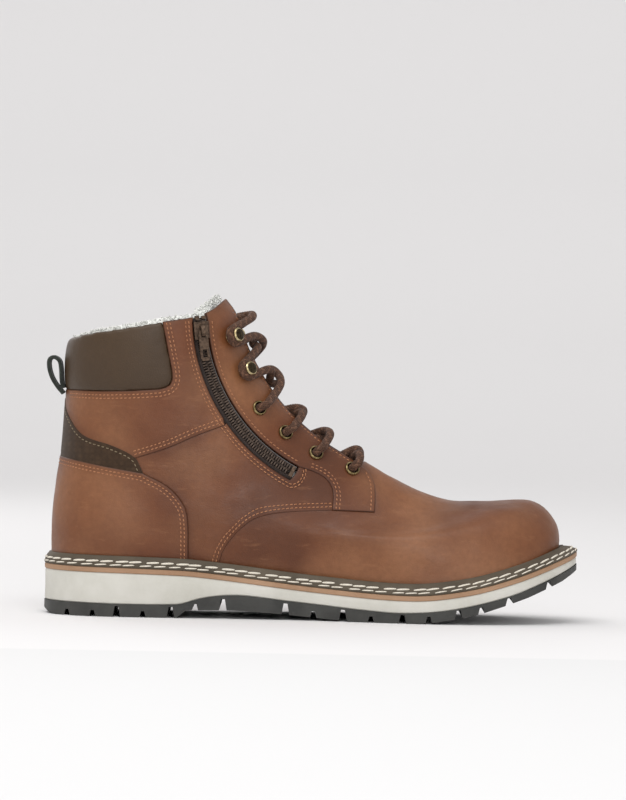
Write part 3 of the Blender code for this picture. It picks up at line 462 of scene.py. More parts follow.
def paint_leather(name, dark, middle, light):
    """Oiled leather: cloudy pull-up colour, fine grain, faint creases, burnished edges and painted shade
    along every edge.
    """
    paint = Paint(name, Specular_IOR_Level=0.38)
    clouds = paint.noise(60, 2.5, 0.5)
    colour = paint.ramp(clouds, dark, middle, 0.22, 0.55)
    colour = paint.mix(paint.ramp(paint.noise(70, 2.0, 0.5), 0.0, 0.8, 0.42, 0.7), colour, light)
    mottle = paint.ramp(paint.noise(3.2, 4.0, 0.65), 0.0, 0.24, 0.35, 0.72)
    colour = paint.mix(mottle, colour, dark)
    scuffs = paint.noise(6, 4.0, 0.7, paint.stretched((0.35, 1, 1.6), (0, 0.3, 0)))
    colour = paint.mix(paint.ramp(scuffs, 0.0, 0.3, 0.58, 0.75), colour, light)
    edge = paint.read("edge")
    # Near black on the cut edge and its rolled rim: a dark burnished edge, deepened with painted shade.
    burnish_and_edge_shade = tuple(c * 0.35 for c in dark[:3]) + (1.0,)
    colour = paint.mix(paint.ramp(edge, 0.85, 0.0, 0.05, 0.75), colour, burnish_and_edge_shade)
    # Painted shade: the leather grows a little darker towards every panel edge, over about 6 mm.
    colour = paint.mix(paint.ramp(edge, 0.3, 0.0, 0.8, 6.0), colour, dark)
    paint.set("Base Color", colour)
    paint.set("Roughness", paint.ramp(paint.noise(12, 4.0, 0.6), 0.36, 0.52, 0.3, 0.7))
    paint.relief(paint.noise(9, 3.0, 0.6, paint.stretched((0.6, 1, 1.5))), 0.5, 0.35)
    paint.relief(paint.cells(0.85), 0.1, 0.5)
    paint.relief(paint.noise(0.45, 2.0), 0.06, 0.4)
    return paint.made


def paint_cloth(name, dark, light, pitch, fuzz=0.3, roughness=0.9):
    """Woven or brushed cloth, by crossed threads of a given pitch in millimetres."""
    paint = Paint(name, roughness, Sheen_Weight=fuzz, Sheen_Roughness=0.6, Specular_IOR_Level=0.2)
    warp = paint.waves(pitch, "X", paint.stretched((1, 0.3, 0.2), (0, 0, 0.05)))
    weft = paint.waves(pitch, "Z")
    weave = paint.sum(warp, weft, "MULTIPLY")
    colour = paint.ramp(paint.noise(5, 5.0, 0.7), dark, light, 0.3, 0.72)
    colour = paint.mix(paint.ramp(weave, 0.45, 0.0, 0.0, 0.5), colour, dark)
    paint.set("Base Color", colour)
    paint.relief(weave, 0.16, 0.6)
    paint.relief(paint.noise(0.7, 3.0), 0.1, 0.5)
    return paint.made


def paint_braid(name, dark, light):
    """Thread or a strand of the lace: fine yarns lying side by side."""
    paint = Paint(name, 0.72, Sheen_Weight=0.08, Sheen_Roughness=0.5, Specular_IOR_Level=0.25)
    yarn = paint.noise(0.5, 2.0, 0.6)
    paint.set("Base Color", paint.ramp(yarn, dark, light, 0.36, 0.66))
    paint.relief(yarn, 0.12, 0.6)
    return paint.made


def paint_fleece(name):
    """Pale wool pile: soft curls with finer curls on them."""
    paint = Paint(name, 0.95, Sheen_Weight=0.4, Sheen_Roughness=0.7, Specular_IOR_Level=0.1)
    curls = paint.cells(2.2, "SMOOTH_F1")
    colour = paint.ramp(curls, linear(240, 241, 237), linear(224, 226, 220), 0.25, 0.8)
    paint.set("Base Color", paint.mix(paint.ramp(paint.noise(8), 0.0, 0.3), colour, linear(238, 235, 226)))
    paint.relief(paint.noise(1.3, 4.0, 0.7), 0.4, 0.7)
    paint.relief(paint.noise(0.35, 3.0, 0.7), 0.3, 0.7)
    return paint.made


def paint_rubber(name, dark, light, roughness, grain=0.25, coat=0.0):
    """Moulded rubber or foam rubber with a fine skin texture and a little dust."""
    paint = Paint(name, roughness, Specular_IOR_Level=0.35, Coat_Weight=coat, Coat_Roughness=0.4)
    colour = paint.ramp(paint.noise(24, 4.0, 0.6), dark, light, 0.3, 0.7)
    dust = paint.ramp(paint.noise(1.6, 3.0, 0.7), 0.0, 0.3, 0.4, 0.8)
    paint.set("Base Color", paint.mix(dust, colour, light))
    paint.set("Roughness", paint.ramp(paint.noise(9, 3.0), roughness - 0.07, roughness + 0.08))
    paint.relief(paint.noise(grain, 3.0, 0.6), 0.06, 0.5)
    paint.relief(paint.noise(3.0, 3.0, 0.5), 0.12, 0.25)
    return paint.made


def paint_metal(name, dark, light, roughness, metallic=1.0):
    """Aged metal: tarnish in patches, brighter where it is rubbed, fine scratches."""
    paint = Paint(name, roughness, metallic)
    tarnish = paint.noise(1.8, 4.0, 0.65)
    colour = paint.ramp(tarnish, dark, light, 0.38, 0.64)
    paint.set("Base Color", colour)
    paint.set("Roughness", paint.ramp(tarnish, roughness + 0.16, roughness - 0.06, 0.35, 0.65))
    scratches = paint.noise(0.6, 3.0, 0.7, paint.stretched((1, 4, 0.4)))
    paint.relief(scratches, 0.04, 0.4)
    return paint.made


def build_paints():
    return {
        "leather": paint_leather("brown_leather", linear(74, 37, 15), linear(105, 58, 29),
                                 linear(150, 102, 68)),
        "collar": paint_leather("collar_leather", linear(50, 36, 20), linear(62, 45, 27), linear(74, 55, 35)),
        "tongue": paint_leather("tongue_leather", linear(84, 56, 38), linear(104, 72, 50),
                                linear(120, 88, 66)),
        "backstay": paint_cloth("backstay_cloth", linear(50, 36, 24), linear(72, 54, 38), 0.55, 0.08),
        "fleece": paint_fleece("fleece_pile"),
        "welt": paint_rubber("welt_strip", linear(70, 62, 50), linear(92, 82, 68), 0.66),
        "tan": paint_rubber("tan_layer", linear(152, 118, 90), linear(174, 140, 112), 0.66, 0.4),
        "midsole": paint_rubber("midsole_foam", linear(192, 190, 180), linear(208, 206, 198), 0.6, 0.5),
        "outsole": paint_rubber("outsole_rubber", linear(44, 44, 42), linear(66, 66, 63), 0.58, 0.35, 0.08),
        "thread": paint_braid("tan_thread", linear(140, 88, 56), linear(190, 136, 98)),
        "pale_thread": paint_braid("pale_thread", linear(108, 94, 72), linear(150, 134, 108)),
        "cream_thread": paint_braid("cream_thread", linear(205, 196, 178), linear(240, 234, 222)),
        "lace": paint_braid("lace_brown", linear(58, 38, 27), linear(92, 62, 45)),
        "lace_fleck": paint_braid("lace_fleck", linear(88, 60, 44), linear(120, 86, 66)),
        "brass": paint_metal("antique_brass", linear(96, 82, 54), linear(168, 150, 108), 0.34),
        # Bare brass for the hook edges, made light and shiny enough to paint their highlights.
        "brass_worn_and_glint": paint_metal("worn_glinting_brass", linear(150, 132, 92), linear(214, 198, 158), 0.24),
        "blackened": paint_metal("blackened_brass", linear(44, 38, 28), linear(78, 68, 50), 0.45),
        "zip": paint_metal("zip_lacquer", linear(70, 56, 46), linear(112, 92, 76), 0.36, 0.75),
        "teeth": paint_metal("zip_teeth", linear(46, 34, 28), linear(100, 84, 72), 0.4, 0.35),
        "tape": paint_cloth("zip_tape", linear(40, 29, 24), linear(62, 46, 38), 0.5),
        "webbing": paint_cloth("loop_webbing", linear(24, 27, 24), linear(60, 66, 58), 0.8, 0.2),
        "board": paint_rubber("fibre_board", linear(140, 112, 82), linear(170, 142, 110), 0.8, 1.2),
        "steel": paint_metal("spring_steel", linear(150, 150, 152), linear(190, 190, 192), 0.3),
        "stiffener": paint_rubber("stiffener_sheet", linear(170, 160, 140), linear(196, 186, 166), 0.75, 0.8),
        "aglet": paint_rubber("aglet_plastic", linear(60, 40, 32), linear(78, 54, 44), 0.25, 0.6, 0.4),
    }


# ---------------------------------------------------------------- meshes


STRETCH = np.array((1.6, 170.0))


def finish_piece(made, paint, body, nodes=()):
    """Gives a new piece its material and body, and hides the CAD nodes that it stands for."""
    if not made.data.materials:
        made.data.materials.append(paint)
    if nodes:
        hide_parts(*nodes)
    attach(made, body)
    return made


def add_mesh(name, points, faces, sharp=50, flip_check=True):
    """A mesh from points in the boot's millimetres."""
    mesh = bpy.data.meshes.new(name)
    mesh.from_pydata(places(points).tolist(), [], faces)
    if flip_check:
        shape = bmesh.new()
        shape.from_mesh(mesh)
        bmesh.ops.recalc_face_normals(shape, faces=shape.faces)
        shape.to_mesh(mesh)
        shape.free()
    mesh.shade_smooth()
    mesh.set_sharp_from_angle(angle=math.radians(sharp))
    made = bpy.data.objects.new(name, mesh)
    bpy.context.scene.collection.objects.link(made)
    return made


def store(made, name, values):
    """Keeps a number for each vertex, for the material to read."""
    made.data.attributes.new(name, "FLOAT", "POINT").data.foreach_set("value", np.asarray(values, "f"))


def flat(loop):
    """(h, angle) places as points of the flat plane that panels are cut in."""
    loop = np.asarray(loop, float)
    return np.stack((loop[:, 1] * STRETCH[0], loop[:, 0] * STRETCH[1]), 1)


def inside(points, loop):
    """For each flat point, whether it lies inside the loop."""
    x, y = points[:, 0][:, None], points[:, 1][:, None]
    after = np.roll(loop, -1, 0)
    crossing = (after[:, 1] > y) != (loop[:, 1] > y)
    rise = after[:, 1] - loop[:, 1]
    rise = np.where(np.abs(rise) < 1e-9, 1e-9, rise)
    at = (after[:, 0] - loop[:, 0]) * (y - loop[:, 1]) / rise + loop[:, 0]
    return (crossing & (x < at)).sum(1) % 2 == 1


def distance(points, line, closed=True):
    """For each point, flat or in space, how far it is from a line of points."""
    start, end = (line, np.roll(line, -1, 0)) if closed else (line[:-1], line[1:])
    run = end - start
    square = np.maximum((run**2).sum(1), 1e-12)
    best = []
    for chunk in np.array_split(points, max(1, len(points) // 1500)):
        way = chunk[:, None, :] - start
        share = np.clip((way * run).sum(2) / square, 0, 1)
        best.append(np.sqrt(((way - run * share[:, :, None]) ** 2).sum(2).min(1)))
    return np.concatenate(best)


def dense(loop, spacing=2.5):
    """A loop on the skin with points added where it runs far between two."""
    filled = []
    for a, b in zip(loop, loop[1:] + loop[:1]):
        steps = max(1, math.ceil((skin(*b) - skin(*a)).length / spacing))
        filled += [(a[0] + (b[0] - a[0]) * i / steps, a[1] + (b[1] - a[1]) * i / steps) for i in range(steps)]
    return filled


def shrunk(loop, gap):
    """A loop on the skin with every side moved inwards by a gap."""
    loop = np.asarray(loop, float)
    across = flat(loop)
    after = np.roll(across, -1, 0)
    turn = 1 if (across[:, 0] * after[:, 1] - across[:, 1] * after[:, 0]).sum() > 0 else -1
    first = read_net(BY_ANGLE, loop)
    by_height = read_net(BY_HEIGHT, loop)
    normal = read_net(NORMALS, loop)
    first_length = np.linalg.norm(first, axis=1)
    along = first / first_length[:, None]
    up = np.cross(normal, along)
    up *= np.sign((up * by_height).sum(1))[:, None]
    steps = np.roll(loop, -1, 0) - loop

    def side(step_row, k):
        run = np.roll(first, k, 0) * step_row[:, 1:2] + np.roll(by_height, k, 0) * step_row[:, 0:1]
        turned_run = np.stack((-(run * up).sum(1), (run * along).sum(1)), 1) * turn
        return turned_run / np.maximum(np.linalg.norm(turned_run, axis=1), 1e-9)[:, None]

    before, behind = side(steps, 0), side(np.roll(steps, 1, 0), 1)
    middle = before + behind
    short = np.linalg.norm(middle, axis=1) < 0.3
    middle[short] = before[short]
    middle /= np.linalg.norm(middle, axis=1)[:, None]
    reach = gap / np.maximum((middle * before).sum(1), 0.5)
    move_along, move_up = middle[:, 0] * reach, middle[:, 1] * reach
    move_h = move_up / (by_height * up).sum(1)
    move_angle = (move_along - (by_height * along).sum(1) * move_h) / first_length
    return np.stack((loop[:, 0] + move_h, loop[:, 1] + move_angle), 1)


def grid_inside(loop, spacing):
    """Flat points in a triangular net inside a flat loop, clear of its edge."""
    low, high = loop.min(0), loop.max(0)
    rows = []
    row_height = spacing * 0.87
    for k, y in enumerate(np.arange(low[1], high[1], row_height)):
        xs = np.arange(low[0] + (k % 2) * spacing / 2, high[0], spacing)
        rows.append(np.stack((xs, np.full_like(xs, y)), 1))
    points = np.concatenate(rows)
    points = points[inside(points, loop)]
    return points[distance(points, loop) > spacing * 0.5]


def cut(loops, rings, points):
    """Flat triangles inside the first loop and outside the others; rings are lines kept as edges."""
    vertices, edges = [], []
    for loop in list(loops) + list(rings):
        start = len(vertices)
        vertices += [Vector(p) for p in loop]
        edges += [(start + i, start + (i + 1) % len(loop)) for i in range(len(loop))]
    vertices += [Vector(p) for p in points]
    found, _, faces, *_ = delaunay_2d_cdt(vertices, edges, [], 0, 1e-5)
    found = np.array([tuple(p) for p in found])
    faces = np.array([tuple(f) for f in faces])
    middles = found[faces].mean(1)
    keep = inside(middles, loops[0])
    for hole in loops[1:]:
        keep &= ~inside(middles, hole)
    faces = faces[keep]
    used, faces = np.unique(faces, return_inverse=True)
    return found[used], faces.reshape(-1, 3)


def thick(upper, lower, faces):
    """Points and faces of the closed solid between two like-numbered sheets."""
    count = len(upper)
    solid = [tuple(f) for f in faces.tolist()]
    border = {}
    for face in solid:
        for a, b in zip(face, face[1:] + face[:1]):
            border[(a, b)] = True
    walls = [(b, a, a + count, b + count) for a, b in border if (b, a) not in border]
    solid += [tuple(reversed([i + count for i in f])) for f in faces.tolist()] + walls
    return np.concatenate((upper, lower)), solid


def panel(name, loop, depths, paint, nodes, holes=(), gap=-0.3, rounding=0.8, drop=0.5,
          spacing=2.3, swell=0.0, relief=0.16, rows=(), row_depth=0.16, seed=0):
    """A piece of the upper with rounded edges, sunk stitch rows, a swell and faint unevenness."""
    inner, outer = depths
    edge = shrunk(dense(loop), gap)
    rings = [flat(shrunk(edge, rounding * 0.3)), flat(shrunk(edge, rounding))]
    loops = [flat(edge)]
    for h, angle, radius in holes:
        turns = [math.tau * k / 24 for k in range(24)]
        ring = [step(h, angle, radius * math.cos(t), radius * math.sin(t)) for t in turns]
        loops.append(flat(ring))
    net = grid_inside(loops[0], spacing)
    for hole in loops[1:]:
        net = net[~inside(net, hole)]
        net = net[distance(net, hole) > spacing * 0.5]
    points, faces = cut(loops, rings, net)
    spots = np.stack((points[:, 1] / STRETCH[1], points[:, 0] / STRETCH[0]), 1)
    on = read_net(NET, spots)
    from_edge = distance(on, read_net(NET, edge))
    share = np.clip(from_edge / rounding, 0, 1)
    offsets = outer - drop * (1 - np.sqrt(1 - (1 - share) ** 2))
    for row in rows:
        offsets -= row_depth * np.exp(-(((from_edge - row) / 1.1) ** 2))
    calm = np.clip(from_edge / 8, 0, 1) ** 2
    if relief:
        bumps = [noise.noise(Vector(p) * 0.045 + Vector((seed, 0, 0)))
                 + 0.5 * noise.noise(Vector(p) * 0.11 + Vector((0, seed, 0))) for p in on]
        offsets += relief * 1.6 * calm * np.array(bumps)
    if swell:
        offsets += swell * (1 - np.exp(-from_edge / 5.0))
    upper = layers(spots, offsets)
    lower = layers(spots, np.full(len(spots), inner))
    solid_points, solid_faces = thick(upper, lower, faces)
    made = add_mesh(name, solid_points, solid_faces)
    store(made, "edge", np.concatenate((from_edge, np.zeros(len(lower)))))
    return finish_piece(made, paint, "boot", nodes)


def capsules(name, spots, length, radius, paint, lift=0.25, slant=0.12, body="boot"):
    """Stitches: one short rounded bar at each (centre, direction, normal) spot, as one piece."""
    rings = [(-0.5, 0.3, -1.0), (-0.4, 0.8, -0.35), (-0.15, 1.0, 0.1), (0.15, 1.0, 0.1),
             (0.4, 0.8, -0.35), (0.5, 0.3, -1.0)]
    sides = 6
    turns = [math.tau * k / sides for k in range(sides)]
    points, faces = [], []
    for number, (centre, along, normal) in enumerate(spots):
        across = normal.cross(along).normalized()
        lean = (along + across * slant).normalized()
        across = normal.cross(lean)
        start = len(points)
        for reach, size, height in rings:
            middle = centre + lean * (reach * length) + normal * (lift + height * radius * 0.7)
            points += [middle + (across * math.cos(t) * 1.1 + normal * math.sin(t) * 0.9) * (size * radius)
                       for t in turns]
        for i in range(len(rings) - 1):
            for k in range(sides):
                a, b = start + i * sides + k, start + i * sides + (k + 1) % sides
                faces.append((a, b, b + sides, a + sides))
        faces.append(tuple(reversed(range(start, start + sides))))
        last = start + (len(rings) - 1) * sides
        faces.append(tuple(range(last, last + sides)))
    made = add_mesh(name, np.array([tuple(p) for p in points]), faces, 70, False)
    return finish_piece(made, paint, body)


def beside(line, distance_left):
    """A line on the skin moved to the left of its run, seen from outside."""
    moved = []
    for i, (h, angle) in enumerate(line):
        before, after = line[max(i - 1, 0)], line[min(i + 1, len(line) - 1)]
        by_angle, by_height, normal = directions(h, angle)
        run = skin(*after) - skin(*before)
        left = normal.cross(run).normalized() * distance_left
        first = by_angle.normalized()
        second = normal.cross(first)
        second = second if second.dot(by_height) > 0 else -second
        moved.append(step(h, angle, left.dot(first), left.dot(second)))
    return moved


def stitch_spots(line, pitch, offset, trim=0.0):
    """Centres, directions and normals at an even pitch along a line of (h, angle) places."""
    fine = []
    for a, b in zip(line, line[1:]):
        parts = max(1, math.ceil((skin(*b) - skin(*a)).length / 0.7))
        fine += [(a[0] + (b[0] - a[0]) * k / parts, a[1] + (b[1] - a[1]) * k / parts) for k in range(parts)]
    fine.append(line[-1])
    track = layers(fine, np.full(len(fine), offset))
    reach = np.concatenate(([0], np.cumsum(np.linalg.norm(np.diff(track, axis=0), axis=1))))
    count = max(1, int((reach[-1] - 2 * trim) / pitch))
    spots = []
    for k in range(count):
        at = trim + (reach[-1] - 2 * trim) * (k + 0.5) / count
        i = min(max(int(np.searchsorted(reach, at)) - 1, 0), len(fine) - 2)
        share = (at - reach[i]) / max(reach[i + 1] - reach[i], 1e-9)
        centre = Vector(track[i] * (1 - share) + track[i + 1] * share)
        along = Vector(track[min(i + 2, len(fine) - 1)] - track[max(i - 1, 0)]).normalized()
        normal = directions(*fine[i])[2]
        spots.append((centre, (along - normal * along.dot(normal)).normalized(), normal))
    return spots


# ---------------------------------------------------------------- the upper


def zip_arc():
    """Centre, axis and frame of the circle that the zip's chain lies on."""
    top, middle, bottom = [layer(*on_skin(*p), depth) for p, depth in ZIP_PLACES]
    a, b = middle - top, bottom - top
    axis = a.cross(b).normalized()
    inwards = (a.cross(b).cross(a) * b.length_squared + b.cross(a.cross(b)) * a.length_squared)
    centre = top + inwards / (2 * a.cross(b).length_squared)
    radius = (top - centre).length
    turn = 2 * math.asin((bottom - top).length / 2 / radius)
    normal = directions(*on_skin(*ZIP_PLACES[1][0]))[2]
    outwards = (middle - centre).normalized()
    lean = math.atan2(normal.dot(outwards), normal.dot(axis))
    return centre, axis, radius, turn, lean, top


ZIP = zip_arc()
ZIP_LENGTH = ZIP[2] * ZIP[3]


def zip_frame(way):
    """Middle, forward, down and outward directions of the zip at a distance down its arc."""
    centre, axis, radius, _, lean, top = ZIP
    outwards = Matrix.Rotation(way / radius, 3, axis) @ (top - centre).normalized()
    up = axis * math.cos(lean) + outwards * math.sin(lean)
    along = axis.cross(outwards).normalized()
    return centre + outwards * radius, up.cross(along).normalized(), along, up


def zip_point(way, across=0.0, height=0.0):
    """A point of the zip: a distance down its arc, to the front, and out from the chain's middle."""
    middle, sideways, _, up = zip_frame(way)
    return middle + sideways * across + up * height


def zip_place(way, across):
    """The place on the skin beside the zip's chain."""
    p = zip_point(way, across)
    return on_skin(p.x, p.z)


def zip_edge(shift, spacing=4.0):
    """Side-view line beside the zip's chain, from top to bottom."""
    steps = math.ceil(ZIP_LENGTH / spacing)
    return [zip_place(ZIP_LENGTH * i / steps, shift) for i in range(steps + 1)]


def quarter_lines(shift):
    """Loops of the three side panels on the inner side, with the zip's opening beside them."""
    front_edge = zip_edge(shift)
    rear_edge = zip_edge(-shift)
    split = next(i for i, p in enumerate(rear_edge) if skin(*p).z < REAR_SEAM[-1][1] + 1)
    throat = throat_line(THROAT_HALF_GAP, THROAT_FOOT, 1.0)
    facing = join(level_line(1.0, front_edge[0][1], throat[-1][1]), list(reversed(throat)),
                  list(reversed(seam(FACING_NOSE))), list(reversed(seam(NOSE_SEAM))),
                  seam(FACING_SEAM), list(reversed(front_edge))[:-1])
    backstay = seam(BACKSTAY_EDGE[1:])
    pad_top = on_skin(*PAD_FRONT[-1])[1]
    rear = join(backstay[:-1], [(backstay[-1][0], 0.0), (on_skin(*PAD_BOTTOM[0])[0], 0.0)],
                seam(PAD_BOTTOM)[1:], seam(PAD_FRONT)[1:-1], level_line(1.0, pad_top, rear_edge[0][1]),
                rear_edge[1:split], list(reversed(seam(REAR_SEAM))))
    foot = seam(VAMP_SEAM)
    counter = seam(COUNTER_FRONT)
    quarter = join(seam(REAR_SEAM), rear_edge[split:], list(reversed(seam(FACING_SEAM))),
                   list(reversed(foot)), level_line(0.0, foot[0][1], counter[0][1]), counter,
                   [on_skin(*BACKSTAY_EDGE[1])])
    return facing, rear, quarter


EYELET_SPOTS = [on_skin(*p) for p in EYELETS]
HOOK_SPOTS = [on_skin(*p) for p in HOOKS]
COUNTER_LINE = join(seam(COUNTER_FRONT), [(h, max(a, 0.0)) for h, a in seam(COUNTER_TOP)[:-1]],
                    [(on_skin(*COUNTER_TOP[-1])[0], 0.0)])
PAD_TOP_ANGLE = on_skin(*PAD_FRONT[-1])[1]


def pad_loop():
    pad_bottom = seam(PAD_BOTTOM)
    pad_bottom[0] = (pad_bottom[0][0], 0.0)
    half = join(pad_bottom, seam(PAD_FRONT)[1:-1], [(1.0, PAD_TOP_ANGLE)])
    return join(half, level_line(1.0, PAD_TOP_ANGLE, -PAD_TOP_ANGLE), round_heel(half)[1:])


def build_panels(paints):
    leather = paints["leather"]
    holes = [(h, a, 3.6) for h, a in EYELET_SPOTS] + [(h, a, 1.9) for h, a in HOOK_SPOTS]
    for number, (side, shift) in enumerate((("medial", ZIP_HALF_OPENING), ("lateral", 0.0))):
        facing, rear, quarter = quarter_lines(shift)
        round_holes = holes
        if side == "lateral":
            facing, rear, quarter = [other_side(loop) for loop in (facing, rear, quarter)]
            round_holes = [(h, 360 - a, r) for h, a, r in holes]
        panel(f"facing_panel_{side}", facing, (LEATHER_BACK, 0.6), leather,
              [f"facing_{side}"], round_holes, rows=(2.2,), seed=3 + number)
        panel(f"rear_quarter_panel_{side}", rear, (LEATHER_BACK, 0.55), leather,
              [f"rear_quarter_{side}"], rows=(2.9,), seed=7 + number)
        panel(f"quarter_panel_{side}", quarter, (LEATHER_BACK, 0.0), leather,
              [f"quarter_{side}"], rows=(), relief=0.28, seed=11 + number)
    counter_loop = join(COUNTER_LINE, round_heel(COUNTER_LINE),
                        level_line(0.0, -COUNTER_LINE[0][1], COUNTER_LINE[0][1]))
    panel("heel_counter_panel", counter_loop, (LEATHER_BACK, 1.25), leather,
          ["heel_counter_cover"], rows=(2.9,), relief=0.22, seed=17)
    high = seam(BACKSTAY_EDGE)
    high[-1] = (high[-1][0], 0.0)
    top = COUNTER_LINE[len(seam(COUNTER_FRONT)) - 1:]
    side_edge = join(list(reversed(top)), high)
    panel("backstay_panel", join(side_edge, round_heel(side_edge)), (LEATHER_BACK, 0.95),
          paints["backstay"], ["backstay"], rows=(2.0,), relief=0.1, seed=23)
    vamp_half = join(seam(VAMP_SEAM), seam(NOSE_SEAM), seam(FACING_NOSE),
                     [(THROAT_FOOT, edge_angle(THROAT_FOOT, THROAT_HALF_GAP))])
    vamp_loop = join(vamp_half, [(THROAT_FOOT, 180.0)], other_side(vamp_half),
                     level_line(0.0, 360 - vamp_half[0][1], vamp_half[0][1]))
    panel("vamp_panel", vamp_loop, (LEATHER_BACK, -0.3), leather, ["vamp"],
          gap=-0.5, relief=0.3, seed=29)


def build_tongue(paints):
    rows = [0.44 + 0.55 * i / 24 for i in range(25)]
    edge = [(h, edge_angle(min(h, 1.0), TONGUE_HALF_WIDTH)) for h in rows]
    loop = join(edge, level_line(rows[-1], edge[-1][1], 360 - edge[-1][1])[1:], other_side(edge)[1:],
                level_line(rows[0], 360 - edge[0][1], edge[0][1])[1:])
    tongue = panel("tongue_pad", loop, (TONGUE_TOP - 3.8, TONGUE_TOP - 0.6), paints["tongue"],
                   ["tongue", "tongue_foam"], rounding=2.5, drop=1.6, swell=0.9,
                   relief=0.5, seed=31)


def mirrored(line):
    """The same line on the outer side, in its own order."""
    return [(h, 360 - angle) for h, angle in line]


def build_stitching(paints):
    """Every sewn row of the upper, by side and thread."""
    pitch, length, radius = 2.5, 1.75, 0.29
    rear = seam(REAR_SEAM, 2.0)
    foot = join(seam(VAMP_SEAM, 2.0), seam(NOSE_SEAM, 2.0)[1:])
    pad = join(seam(PAD_BOTTOM, 2.0)[2:], seam(PAD_FRONT, 2.0)[1:])
    facing_low = seam(FACING_SEAM, 2.0)
    nose = seam(FACING_NOSE, 2.0)
    throat = throat_line(THROAT_HALF_GAP, THROAT_FOOT + 0.02, 0.985)
    common = []
    for gap in (1.9, 3.9):
        common.append((beside(COUNTER_LINE, gap), 1.1))
        common.append((beside(rear, gap), 0.42))
        common.append((beside(foot[:-2], gap), 0.15))
        common.append((beside(pad, -gap), 0.42))
        common.append((beside(facing_low[:-3], -gap), 0.47))
    common.append((beside(throat, 2.2), 0.47))
    common.append((beside(nose, 2.2), 0.47))
    backstay = beside(seam(BACKSTAY_EDGE, 2.0)[1:-2], 2.0)

    zip_rows = []
    for across in (1.9, 3.8):
        reach = ZIP_HALF_OPENING + across
        down = [(2 + (ZIP_LENGTH - 3) * i / 40, -reach) for i in range(41)]
        corner = [(ZIP_LENGTH + reach * math.sin(math.radians(t)) * 0.75, -reach * math.cos(math.radians(t)))
                  for t in range(10, 131, 15)]
        zip_rows.append(([zip_place(*p) for p in down + corner], 0.42 if across < 3 else 0.3))
    front = [zip_place(3 + (ZIP_LENGTH - 4) * i / 40, ZIP_HALF_OPENING + 2.0) for i in range(41)]
    zip_rows.append((front, 0.47))

    for side in ("medial", "lateral"):
        rows = common + (zip_rows if side == "medial" else [])
        spots = []
        for line, offset in rows:
            spots += stitch_spots(line if side == "medial" else mirrored(line), pitch, offset)
        capsules(f"stitching_{side}", spots, length, radius, paints["thread"], 0.05)
        line = backstay if side == "medial" else mirrored(backstay)
        capsules(f"backstay_stitching_{side}", stitch_spots(line, 2.7, 0.85), 1.7, 0.26,
                 paints["pale_thread"], 0.05)


def soft_pad(name, loop, inner, outer, paint, nodes, voxel, cap):
    """A stuffed cover blown up by a short cloth simulation, held along its seam."""
    edge = shrunk(dense(loop), -0.25)
    net = grid_inside(flat(edge), 2.6)
    points, faces = cut([flat(edge)], [flat(shrunk(edge, 1.2))], net)
    spots = np.stack((points[:, 1] / STRETCH[1], points[:, 0] / STRETCH[0]), 1)
    from_edge = distance(read_net(NET, spots), read_net(NET, edge))
    crown = 1 - np.exp(-from_edge / 3.2)
    upper = layers(spots, 0.1 + (outer - 0.1) * crown)
    lower = layers(spots, np.full(len(spots), inner))
    made = add_mesh(name, *thick(upper, lower, faces))
    bpy.context.view_layer.objects.active = made
    remesh = made.modifiers.new("even", "REMESH")
    remesh.mode = "VOXEL"
    remesh.voxel_size = voxel * MM
    bpy.ops.object.modifier_apply(modifier=remesh.name)
    blow_up(made, loop, cap)
    made.data.shade_smooth()
    store(made, "edge", np.full(len(made.data.vertices), 5.0))
    finish_piece(made, paint, "boot", nodes)
    return made


def blow_up(made, loop, cap):
    """Swells a cover with cloth pressure for 20 frames, its border pinned and its motion capped."""
    mesh = made.data
    before = np.empty(len(mesh.vertices) * 3)
    mesh.vertices.foreach_get("co", before)
    before = before.reshape(-1, 3)
    border = places(read_net(NET, shrunk(dense(loop), -0.25)))
    near = distance(before, border) / MM
    pins = made.vertex_groups.new(name="seam")
    for i, far in enumerate(near):
        pins.add([i], float(np.clip(1 - (far - 1.0) / 3.0, 0, 1)), "REPLACE")
    cloth = made.modifiers.new("cover", "CLOTH")
    settings = cloth.settings
    settings.quality = 6
    settings.mass = 0.2
    settings.tension_stiffness = settings.compression_stiffness = 25
    settings.bending_stiffness = 4
    settings.use_pressure = True
    settings.uniform_pressure_force = 4.0
    settings.vertex_group_mass = "seam"
    settings.effector_weights.gravity = 0
    cloth.collision_settings.use_collision = False
    scene = bpy.context.scene
    for number in range(1, 21):
        scene.frame_set(number)
    swollen = made.evaluated_get(bpy.context.evaluated_depsgraph_get()).to_mesh()
    after = np.empty(len(mesh.vertices) * 3)
    swollen.vertices.foreach_get("co", after)
    made.evaluated_get(bpy.context.evaluated_depsgraph_get()).to_mesh_clear()
    move = after.reshape(-1, 3) - before
    size = np.linalg.norm(move, axis=1)[:, None]
    move *= np.minimum(1, cap * MM / np.maximum(size, 1e-9))
    made.modifiers.remove(cloth)
    made.vertex_groups.remove(pins)
    scene.frame_set(1)
    mesh.vertices.foreach_set("co", (before + move).ravel())
    relax = made.modifiers.new("relax", "SMOOTH")
    relax.factor = 0.5
    relax.iterations = 4
    bpy.ops.object.modifier_apply(modifier=relax.name)
    divide = made.modifiers.new("finer", "SUBSURF")
    divide.levels = divide.render_levels = 1
    bpy.ops.object.modifier_apply(modifier=divide.name)


def build_collar(paints):
    soft_pad("collar_pad", pad_loop(), -3.6, 1.5, paints["collar"],
             ["collar_cover", "collar_foam"], 1.6, 1.0)


# ---------------------------------------------------------------- the fleece


